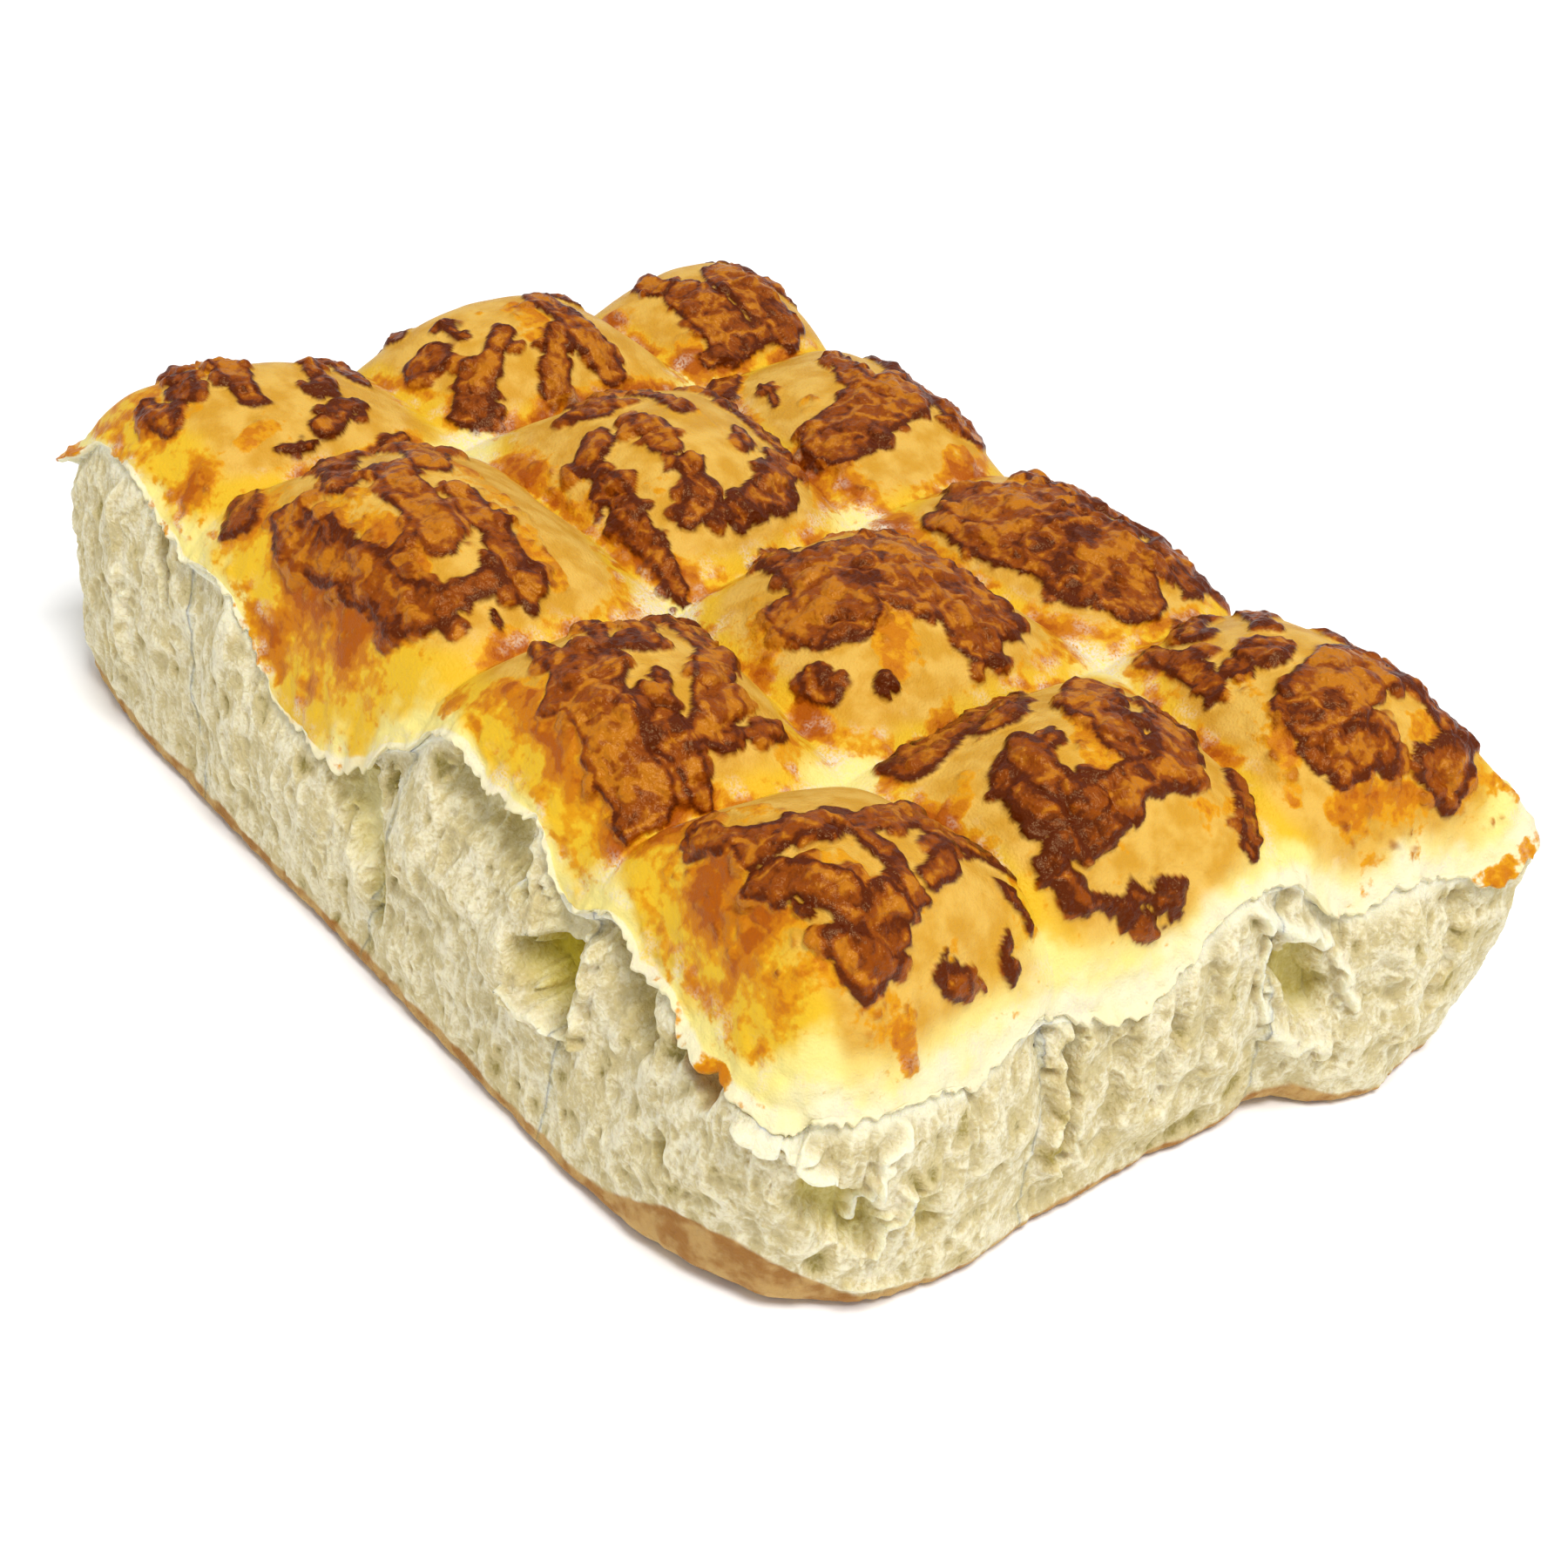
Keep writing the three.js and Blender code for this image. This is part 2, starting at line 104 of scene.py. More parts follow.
class Grain:
    """Repeatable noise in space, computed on whole arrays of points (N, 3) in millimetres."""

    STRIDE = (127.1, 311.7, 74.7)
    GAIN = 43758.5453
    LAYER_SALT = 17.0
    SEED_SPREAD = 0.42
    SEED_SALT = 3.1
    TONE_SALT = 11.7

    @classmethod
    def hash(cls, i: Array, j: Array, k: Array, salt: float = 0.0) -> Array:
        """A number from -1 to 1 for whole-number places: the fraction of a large sine.

        Args:
            i: Places along X.
            j: Places along Y.
            k: Places along Z.
            salt: Shifts the sine, for another set of numbers.

        Returns:
            One number a place.
        """
        wave = np.sin(i * cls.STRIDE[0] + j * cls.STRIDE[1] + k * cls.STRIDE[2] + salt) * cls.GAIN
        return 2 * (wave - np.floor(wave)) - 1

    @classmethod
    def lumps(cls, points: Array, size: Pitch, salt: float = 0.0) -> Array:
        """Value noise: hashed corners of a lattice of pitch `size`, blended by 3f^2 - 2f^3.

        Args:
            points: Places, (..., 3).
            size: Lattice pitch, one number or one for each axis.
            salt: Picks another pattern.

        Returns:
            Numbers from -1 to 1, one a point.
        """
        scaled = points / np.asarray(size)
        cell = np.floor(scaled)
        part = scaled - cell
        part = part * part * (3 - 2 * part)
        total = np.zeros(points.shape[:-1])
        for corner in range(8):
            bit = (corner & 1, (corner >> 1) & 1, corner >> 2)
            weight = np.ones(points.shape[:-1])
            for axis in range(3):
                weight = weight * (part[..., axis] if bit[axis] else 1 - part[..., axis])
            place = [cell[..., axis] + bit[axis] for axis in range(3)]
            total += weight * cls.hash(*place, salt)
        return total

    @classmethod
    def layers(cls, points: Array, size: Pitch, count: int, salt: float = 0.0) -> Array:
        """Sum of lumps whose size and height halve from layer to layer.

        Args:
            points: Places, (..., 3).
            size: Pitch of the coarsest layer.
            count: Number of layers.
            salt: Picks another pattern.

        Returns:
            Numbers of about -1 to 1.
        """
        total = np.zeros(points.shape[:-1])
        for layer in range(count):
            pitch = np.asarray(size) / 2**layer
            total += cls.lumps(points, pitch, salt + cls.LAYER_SALT * layer) / 2**layer
        return total / (2 - 2.0 ** (1 - count))

    @classmethod
    def cells(cls, points: Array, size: Pitch, salt: float = 0.0) -> tuple[Array, Array]:
        """Cellular noise: one hashed seed point in each lattice cell, and the nearest one wins.

        Args:
            points: Places, (..., 3).
            size: Lattice pitch, one number or one for each axis.
            salt: Picks another pattern.

        Returns:
            Distance to the nearest seed in pitches, and that seed's own number from -1 to 1.
        """
        scaled = points / np.asarray(size)
        cell = np.floor(scaled)
        part = scaled - cell
        nearest = np.full(points.shape[:-1], 9.0)
        tone = np.zeros(points.shape[:-1])
        for step in np.ndindex(3, 3, 3):
            offset = np.array(step) - 1.0
            place = [cell[..., axis] + offset[axis] for axis in range(3)]
            away = np.zeros(points.shape[:-1])
            for axis in range(3):
                seed = 0.5 + cls.SEED_SPREAD * cls.hash(*place, salt + cls.SEED_SALT * axis)
                away += (offset[axis] + seed - part[..., axis]) ** 2
            closer = away < nearest
            nearest = np.where(closer, away, nearest)
            tone = np.where(closer, cls.hash(*place, salt + cls.TONE_SALT), tone)
        return np.sqrt(nearest), tone


@dataclass(frozen=True)
class Noise:
    """One pattern of noise: its pitch in millimetres, its salt, its layers and its height."""

    size: Pitch
    salt: float
    layers: int = 1
    height: float = 1.0

    def at(self, points: Array) -> Array:
        """The pattern at places (..., 3), from -height to height."""
        return self.height * Grain.layers(points, self.size, self.layers, self.salt)

    def push(self, points: Array) -> Array:
        """The pattern as a shift in space: one pattern of plain lumps for each axis."""
        shifts = [Grain.lumps(points, self.size, self.salt + axis) for axis in range(3)]
        return self.height * np.stack(shifts, axis=-1)

    def ridges(self, points: Array, middle: float) -> Array:
        """Thin ridges between rounded dips: height times (middle - |noise|)."""
        return self.height * (middle - np.abs(Grain.layers(points, self.size, self.layers, self.salt)))


@dataclass(frozen=True)
class Band:
    """The stretch of values over which a mask goes from 0 to 1."""

    low: float
    high: float

    def of(self, value: Array) -> Array:
        """A smooth step over the stretch."""
        return ramp(value, self.low, self.high)


# ---- The slab's form ------------------------------------------------------------------------


@dataclass(frozen=True)
class Tear:
    """A hollow or a fold torn into a side: a band from one place to another.

    A place is rolls walked round the slab and height. The band has a half width, stands `out` of the
    face (or in, below 0) with flanks that take the part `flank` of the half width, and has shares of
    white skin, yellow of the hollow, which is painted shade, and baked crust.
    """

    start: tuple[float, float]
    end: tuple[float, float]
    half: float
    out: float
    skin: float = 0.0
    deep: float = 0.0
    bake: float = 0.0
    flank: float = 0.9

    def strength(self, walked: Array, height: Array, roll: float) -> Array:
        """How much of the band is at each place: a smooth step of 1 - distance / half width.

        Args:
            walked: Rolls walked round the slab.
            height: Height in millimetres.
            roll: Length of a roll.

        Returns:
            0 outside, 1 in the band's middle.
        """
        across, up = (self.end[0] - self.start[0]) * roll, self.end[1] - self.start[1]
        from_x, from_z = (walked - self.start[0]) * roll, height - self.start[1]
        part = np.clip((from_x * across + from_z * up) / (across * across + up * up), 0, 1)
        away = np.hypot(from_x - part * across, from_z - part * up) / self.half
        return ramp(1 - away, 0.0, self.flank)


@dataclass(frozen=True)
class EdgeSwell:
    """A place where the rolled lower edge is larger."""

    at: tuple[float, float]
    reach: float
    extra: float


class Side(Enum):
    """The four torn sides, in the order in which the ring runs round the slab."""

    SOUTH = 0
    EAST = 1
    NORTH = 2
    WEST = 3


@dataclass
class TopPlaces:
    """What the form knows of places on the top: position, place in the roll, nearness to the rim."""

    points: Array
    u: Array
    v: Array
    crown: Array
    on_rim: Array
    shoulder: dict[Side, Array]


@dataclass(frozen=True)
class SlabForm:
    """The slab's form from its driving dimensions, in millimetres.

    The crossings, crowns, creases, shoulders, corners and swells have the CAD model's values. The rim,
    the base line, the slots and the tears are drawn finer than there, so their values differ from it,
    and the lower edge is a little tighter.
    """

    crossings: Array = field(default_factory=lambda: np.array([
        [[-121, -82], [-68, -84], [6, -83], [58.5, -82.5], [116, -80]],
        [[-113, -27], [-66, -24], [5, -24], [62, -30], [112, -23]],
        [[-113, 30.5], [-65, 34], [-5, 26.5], [56.5, 35], [114, 25.5]],
        [[-116, 80], [-69, 81], [-9, 80], [54, 80], [121, 82]],
    ], dtype=float))
    crown_heights: Array = field(default_factory=lambda: np.array([
        [70, 75, 75, 74], [74.5, 76, 75, 74], [71, 70, 70, 73],
    ], dtype=float))
    rim_line: Array = field(default_factory=lambda: np.array([
        (0, 51, 1), (0.11, 52, 1), (0.41, 58, 1), (0.63, 57, 1), (0.81, 54, 1), (1, 53, 1), (1.16, 52, 1),
        (1.29, 48, 1), (1.37, 45, 1), (1.41, 38, 1), (1.54, 35.5, 1), (1.69, 37, 0), (1.83, 42, 2),
        (1.94, 50, 3),
        (2.1, 57.5, 4), (2.25, 60, 5), (2.41, 56.5, 5), (2.73, 57, 4), (2.79, 50, 4), (2.83, 47, 4),
        (2.93, 49, 4),
        (3.05, 54, 4), (3.13, 53.5, 5), (3.22, 48.5, 5), (3.36, 49, 4), (3.46, 46, 3), (3.68, 44.6, 1),
        (3.9, 43.5, 0), (4, 44, 1), (4.18, 41.5, 1), (4.31, 40, 0), (4.59, 40, 0), (4.67, 40, 0),
        (4.77, 41, 0),
        (4.87, 45.7, 0), (4.99, 45.8, 1), (5.04, 43, 1), (5.15, 41, 0), (5.31, 36.4, 0), (5.38, 38.7, 0),
        (5.57, 44, 0), (5.67, 48, 0), (5.73, 51.6, 0), (5.94, 54.4, 1), (6.03, 53.3, 1), (6.21, 45.5, 1),
        (6.32, 41.3, 0), (6.5, 44, 0), (6.79, 44, 0), (6.9, 46, -1), (7, 53, 0), (7.5, 53, -2), (8, 52, 1),
        (8.5, 42, -2), (9, 49, 1), (9.5, 42, -2), (10, 49, 1), (10.5, 45, -2), (11, 42, 0), (11.5, 54, -2),
        (12, 50, 1), (12.5, 56, -2), (13, 50, 1), (13.5, 48, -2), (14, 51, 1),
    ], dtype=float))
    base_side: dict[Side, float] = field(default_factory=lambda: {
        Side.SOUTH: -83.0, Side.EAST: 115.0, Side.NORTH: 83.0, Side.WEST: -115.0,
    })
    base_line: Array = field(default_factory=lambda: np.array([
        (0, 2.5), (0.5, 2.2), (3.5, 1.8), (3.9, 1), (4.2, 2), (4.5, 3.8), (4.8, 3.2), (5.2, 1.5), (5.6, 0),
        (6.08, 0.5), (6.25, 6), (6.45, 9), (6.75, 6.5), (7, 3.5), (7.3, 1), (8, 0.5), (9.5, 1.5), (11, 1),
        (12.5, 0.5), (13.5, 1.5), (14, 2.5),
    ], dtype=float))
    rim_pull: tuple[float, ...] = (1.0, 6.0, -1.0, 5.0)
    base_pull: tuple[float, ...] = (4.0, 8.0, 2.0, 6.0)
    rim_pull_power: float = 5.0
    base_pull_power: float = 3.0
    crease_height: float = 62.0
    crossing_dip: float = 2.5
    crown_power: float = 2.3
    crossing_power: float = 4.0
    shoulder_reach: float = 0.46
    shoulder_power: float = 3.0
    inset_reach: float = 0.5
    fall_power: float = 6.0
    line_blur: float = 0.035
    edge_radius: float = 3.2
    swells: tuple[EdgeSwell, ...] = (EdgeSwell((100, -77), 24, 4.0), EdgeSwell((114, 34), 9, 5))
    core_inset: float = 30.0
    slot_depth: float = 3.6
    slot_width: float = 5.5
    slot_wander: float = 4.0
    slot_foot: float = 0.25
    # A tear's share of yellow in its hollow is painted shade.
    tears: tuple[Tear, ...] = (
        Tear((2.88, 48), (2.9, 38), 6.5, -5, skin=0.5, deep=0.3, flank=0.7),
        Tear((2.84, 34), (2.96, 31), 5.5, -10, deep=1, flank=0.35), Tear((2.78, 26.5), (3.02, 25),
        1.8, 2.5, skin=0.6),
        Tear((6.08, 35), (6.17, 26), 5.2, -5.5, deep=0.6, flank=0.5),
        Tear((5.97, 38), (6.01, 35), 2.6, -5, deep=1, flank=0.4),
        Tear((5.84, 50), (6.2, 37), 2.4, 3, skin=1), Tear((5.92, 41), (5.98, 24), 1.8, 2, skin=0.8),
        Tear((6.28, 34), (6.31, 24), 1.8, 2.5, skin=0.8), Tear((6, 21), (6.2, 17), 3.2, 3, skin=0.7),
        Tear((2.25, 51), (2.65, 48), 7, -5, deep=0.25), Tear((2.2, 33), (2.7, 30), 10, 2.5),
        Tear((2.6, 50), (2.7, 44), 1.6, 1.6, skin=0.9), Tear((2.7, 47), (2.72, 44),
        1.8, -4, deep=0.5, flank=0.4),
        Tear((3.12, 47), (3.3, 38), 6, -5.5, deep=0.2), Tear((3.5, 43), (3.62, 39),
        4.2, -3, bake=1.5, flank=0.6),
        Tear((3.05, 44), (3.08, 26), 2.5, 3), Tear((1.83, 38), (1.84, 37), 1.5, -4, deep=0.9, flank=0.4),
        Tear((1.92, 41), (1.95, 40), 1.6, -4, deep=0.9, flank=0.4), Tear((1.78, 35), (1.93, 26),
        6, -4, 0.4, 0.6),
        Tear((1.98, 24), (2.05, 14), 3.2, -3, deep=0.5), Tear((3.8, 39.5), (4.14, 33.5), 2.6, 4, skin=1),
        Tear((4.08, 27), (4.3, 19), 5.5, -4.5, deep=0.6, flank=0.6), Tear((4.25, 20), (4.28, 30),
        1.9, 3, skin=0.8),
        Tear((4.28, 30), (4.37, 38), 1.9, 3, skin=0.9), Tear((4.42, 25), (4.34, 13), 1.7, 2.5, skin=0.6),
        Tear((4.5, 20), (4.56, 15), 4, -3, deep=0.4), Tear((4.3, 6), (4.45, 5), 3, 2, skin=0.4),
        Tear((5.1, 43), (5.14, 12), 2.2, -4.5, deep=0.2), Tear((5.04, 40), (5.08, 12), 2.4, 3),
        Tear((5.35, 30), (5.3, 12), 4, -2), Tear((5.55, 32), (5.5, 15), 4, -2.5), Tear((5.72, 44),
        (5.76, 20), 4, 2),
        Tear((6.5, 38), (6.52, 15), 5, 2.5), Tear((6.75, 36), (6.7, 18), 4, -3),
        Tear((0.78, 52), (0.84, 40), 2, -5, deep=0.2), Tear((0.5, 50), (0.55, 20), 4, 2), Tear((3.5, 24),
        (3.52, 22), 2.5, -3, deep=0.4),
        Tear((7.6, 36), (7.7, 20), 6, -3), Tear((8.6, 38), (8.65, 22), 7, -3), Tear((9.4, 30), (9.5, 14),
        5, 2.5),
        Tear((10.6, 38), (10.7, 26), 6, -3), Tear((11.6, 36), (11.65, 20), 6, -3), Tear((12.6, 30),
        (12.4, 16), 6, 2),
        Tear((13.4, 40), (13.5, 25), 6, -3),
    )
    tear_ragged: float = 1.5
    tear_margin: float = 3.0
    tear_jags: tuple[tuple[Noise, ...], ...] = (
        (Noise(3.4, 61.0), Noise(1.4, 64.0, height=0.6)),
        (Noise(3.4, 62.0), Noise(1.4, 65.0, height=0.6)),
    )
    slot_bend: Noise = Noise(14.0, 67.0)
    window_steps: int = 7
    face_belly: float = 1.5
    ragged_size: float = 9.0
    ragged_height: float = 1.6

    @property
    def long_rolls(self) -> int:
        """Rolls along X."""
        return self.crossings.shape[1] - 1

    @property
    def short_rolls(self) -> int:
        """Rolls along Y."""
        return self.crossings.shape[0] - 1

    @staticmethod
    def split(place: Array, count: int) -> tuple[Array, Array]:
        """Split places along a row of rolls into the roll's number and the part of it, 0 to 1."""
        number = np.clip(np.floor(place).astype(int), 0, count - 1)
        return number, place - number

    def along(self, line: Array, column: int, walked: Array) -> Array:
        """Value of a line of measured places round the slab: straight pieces, blurred by a Hann window.

        Args:
            line: Rows of rolls walked and values.
            column: Which value.
            walked: Rolls walked at the wanted places.

        Returns:
            The value at each place.
        """
        total = line[-1, 0]
        steps = int(total / self.line_blur)
        window = np.hanning(self.window_steps)[1:-1]
        spare = steps // self.window_steps
        fine = np.arange(-steps // self.window_steps, steps + spare) * total / steps
        straight = np.interp(fine % total, line[:, 0], line[:, column])
        return np.interp(walked % total, fine, np.convolve(straight, window / window.sum(), "same"))

    def walked(self, s: Array, t: Array) -> dict[Side, Array]:
        """Rolls walked round the slab, anticlockwise from the southwest, to the foot on each side."""
        long, short = self.long_rolls, self.short_rolls
        return {Side.SOUTH: s, Side.EAST: long + t, Side.NORTH: 2 * long + short - s,
                Side.WEST: 2 * (long + short) - t}

    def corner_shift(self, s: Array, t: Array, pull: tuple[float, ...], power: float) -> tuple[Array, Array]:
        """Shift that rounds the slab's corners: pull times (part in X times part in Y) to a power.

        Args:
            s: Places along X, in rolls.
            t: Places along Y, in rolls.
            pull: Shift at the southwest, southeast, northeast and northwest corners.
            power: How tightly the shift keeps to the corner.

        Returns:
            The shifts in X and in Y.
        """
        i, f = self.split(s, self.long_rolls)
        j, g = self.split(t, self.short_rolls)
        west, east = i == 0, i == self.long_rolls - 1
        south, north = j == 0, j == self.short_rolls - 1
        strengths = (
            (west & south) * pull[0] * ((1 - f) * (1 - g)) ** power,
            (east & south) * pull[1] * (f * (1 - g)) ** power,
            (east & north) * pull[2] * (f * g) ** power,
            (west & north) * pull[3] * ((1 - f) * g) ** power,
        )
        shift_x = strengths[0] - strengths[1] - strengths[2] + strengths[3]
        shift_y = strengths[0] + strengths[1] - strengths[2] - strengths[3]
        return shift_x, shift_y

    def nearness(self, s: Array, t: Array, reach: float, power: float) -> dict[Side, Array]:
        """How strongly each side acts: (1 - distance / reach) to a power, never below 0."""
        distance = {
            Side.SOUTH: t, Side.EAST: self.long_rolls - s, Side.NORTH: self.short_rolls - t, Side.WEST: s,
        }
        return {side: np.clip(1 - d / reach, 0, 1) ** power for side, d in distance.items()}

    def top(self, s: Array, t: Array) -> TopPlaces:
        """The baked top without its fine relief.

        The plan blends the four crossings round each roll, follows the rim's inset and rounds the
        corners. The height is the crease height, plus a crown (1 - |u|^p)(1 - |v|^p), less the dip at
        the crossings and the shoulder that falls to the torn rim.

        Args:
            s: Places along X, 0 to 4 rolls.
            t: Places along Y, 0 to 3 rolls.

        Returns:
            The places on the top.
        """
        i, f = self.split(s, self.long_rolls)
        j, g = self.split(t, self.short_rolls)
        u, v = 2 * f - 1, 2 * g - 1
        cross = self.crossings
        south = mix(cross[j, i], cross[j, i + 1], f[..., None])
        north = mix(cross[j + 1, i], cross[j + 1, i + 1], f[..., None])
        plan = mix(south, north, g[..., None])
        near = self.nearness(s, t, self.inset_reach, 2)
        walked = self.walked(s, t)
        inset = {side: near[side] * self.along(self.rim_line, 2, walked[side]) for side in Side}
        shift_x, shift_y = self.corner_shift(s, t, self.rim_pull, self.rim_pull_power)
        x = plan[..., 0] + inset[Side.WEST] - inset[Side.EAST] + shift_x
        y = plan[..., 1] + inset[Side.SOUTH] - inset[Side.NORTH] + shift_y
        crown = (1 - np.abs(u) ** self.crown_power) * (1 - np.abs(v) ** self.crown_power)
        dip = self.crossing_dip * np.abs(u * v) ** self.crossing_power
        shoulder = self.nearness(s, t, self.shoulder_reach, self.shoulder_power)
        drops = {side: self.crease_height - self.along(self.rim_line, 1, walked[side]) for side in Side}
        fall = sum((drops[side] * shoulder[side]) ** self.fall_power for side in Side)
        fall = fall ** (1 / self.fall_power)
        on_rim = np.maximum.reduce(list(shoulder.values()))
        flat = np.stack([x, y, np.zeros_like(x)], axis=-1)
        ragged = self.ragged_height * Grain.lumps(flat, self.ragged_size) * on_rim**self.shoulder_power
        rise = (self.crown_heights[j, i] - self.crease_height) * crown
        z = self.crease_height - dip + rise - fall + ragged
        return TopPlaces(np.stack([x, y, z], axis=-1), u, v, crown, on_rim, shoulder)

    def base_outline(self, s: Array, t: Array, side: Array) -> Array:
        """The outline of the base under places on the slab's edge, (K, 2).

        Args:
            s: Places along X, in rolls.
            t: Places along Y, in rolls.
            side: The side's number for each place.

        Returns:
            X and Y of the outline: a straight side moved out by the base line, with rounded corners.
        """
        outline = np.zeros((len(s), 2))
        west, east = self.base_side[Side.WEST], self.base_side[Side.EAST]
        south, north = self.base_side[Side.SOUTH], self.base_side[Side.NORTH]
        outline[:, 0] = mix(west, east, s / self.long_rolls)
        outline[:, 1] = mix(south, north, t / self.short_rolls)
        for one in Side:
            here = side == one.value
            runs_x = one in (Side.SOUTH, Side.NORTH)
            out = self.along(self.base_line, 1, self.walked(s, t)[one][here])
            outline[here, 1 if runs_x else 0] = self.base_side[one] + np.sign(self.base_side[one]) * out
        shift_x, shift_y = self.corner_shift(s, t, self.base_pull, self.base_pull_power)
        return outline + np.stack([shift_x, shift_y], axis=-1)

    def foot_radius(self, outline: Array) -> Array:
        """Radius of the rolled lower edge: a constant plus a bell curve at each swell."""
        radius = np.full(len(outline), self.edge_radius)
        for swell in self.swells:
            away = np.hypot(outline[:, 0] - swell.at[0], outline[:, 1] - swell.at[1]) / swell.reach
            radius += swell.extra * np.exp(-away * away)
        return radius

    def torn(self, points: Array, row: Array, count: Array, length: Array, walked: Array) -> dict[str, Array]:
        """How the torn faces stand out: bell-shaped slots between rolls, plus the tears.

        Args:
            points: Places on the plain faces, (rows, K, 3).
            row: Places along the side, in rolls.
            count: Rolls on the side, for each place.
            length: Length of a roll on the side, for each place.
            walked: Rolls walked round the slab.

        Returns:
            "out" in millimetres, and the shares "skin", "deep" (painted shade of the hollows) and "bake".
        """
        nearest = np.clip(np.round(row), 1, count - 1)
        wander = self.slot_wander * self.slot_bend.at(points)
        from_slot = ((row - nearest) * length + wander) / self.slot_width
        down = np.linspace(0, 1, len(points))[:, None]
        out = -self.slot_depth * np.exp(-from_slot * from_slot) * mix(1.0, self.slot_foot, down)
        found = {"out": out, "skin": 0 * out, "deep": 0 * out, "bake": 0 * out}
        roll = float(np.mean(length))
        jag = [sum(noise.at(points) for noise in noises) for noises in self.tear_jags]
        at = walked[None] + self.tear_ragged * jag[0] / roll
        height = points[..., 2] + self.tear_ragged * jag[1]
        for tear in self.tears:
            margin = (tear.half + self.tear_margin * self.tear_ragged) / roll
            low = min(tear.start[0], tear.end[0]) - margin
            high = max(tear.start[0], tear.end[0]) + margin
            here = (walked > low) & (walked < high)
            strength = tear.strength(at[:, here], height[:, here], roll)
            found["out"][:, here] += tear.out * strength
            for name in ("skin", "deep", "bake"):
                found[name][:, here] = np.maximum(found[name][:, here], getattr(tear, name) * strength)
        return found


# ---- Cheese ---------------------------------------------------------------------------------


@dataclass(frozen=True)
class Blisters:
    """One size of cheese blister: pitch, radius range, height range and the share that rises."""

    pitch: float
    radius: tuple[float, float]
    height: tuple[float, float]
    share: float
    salt: float


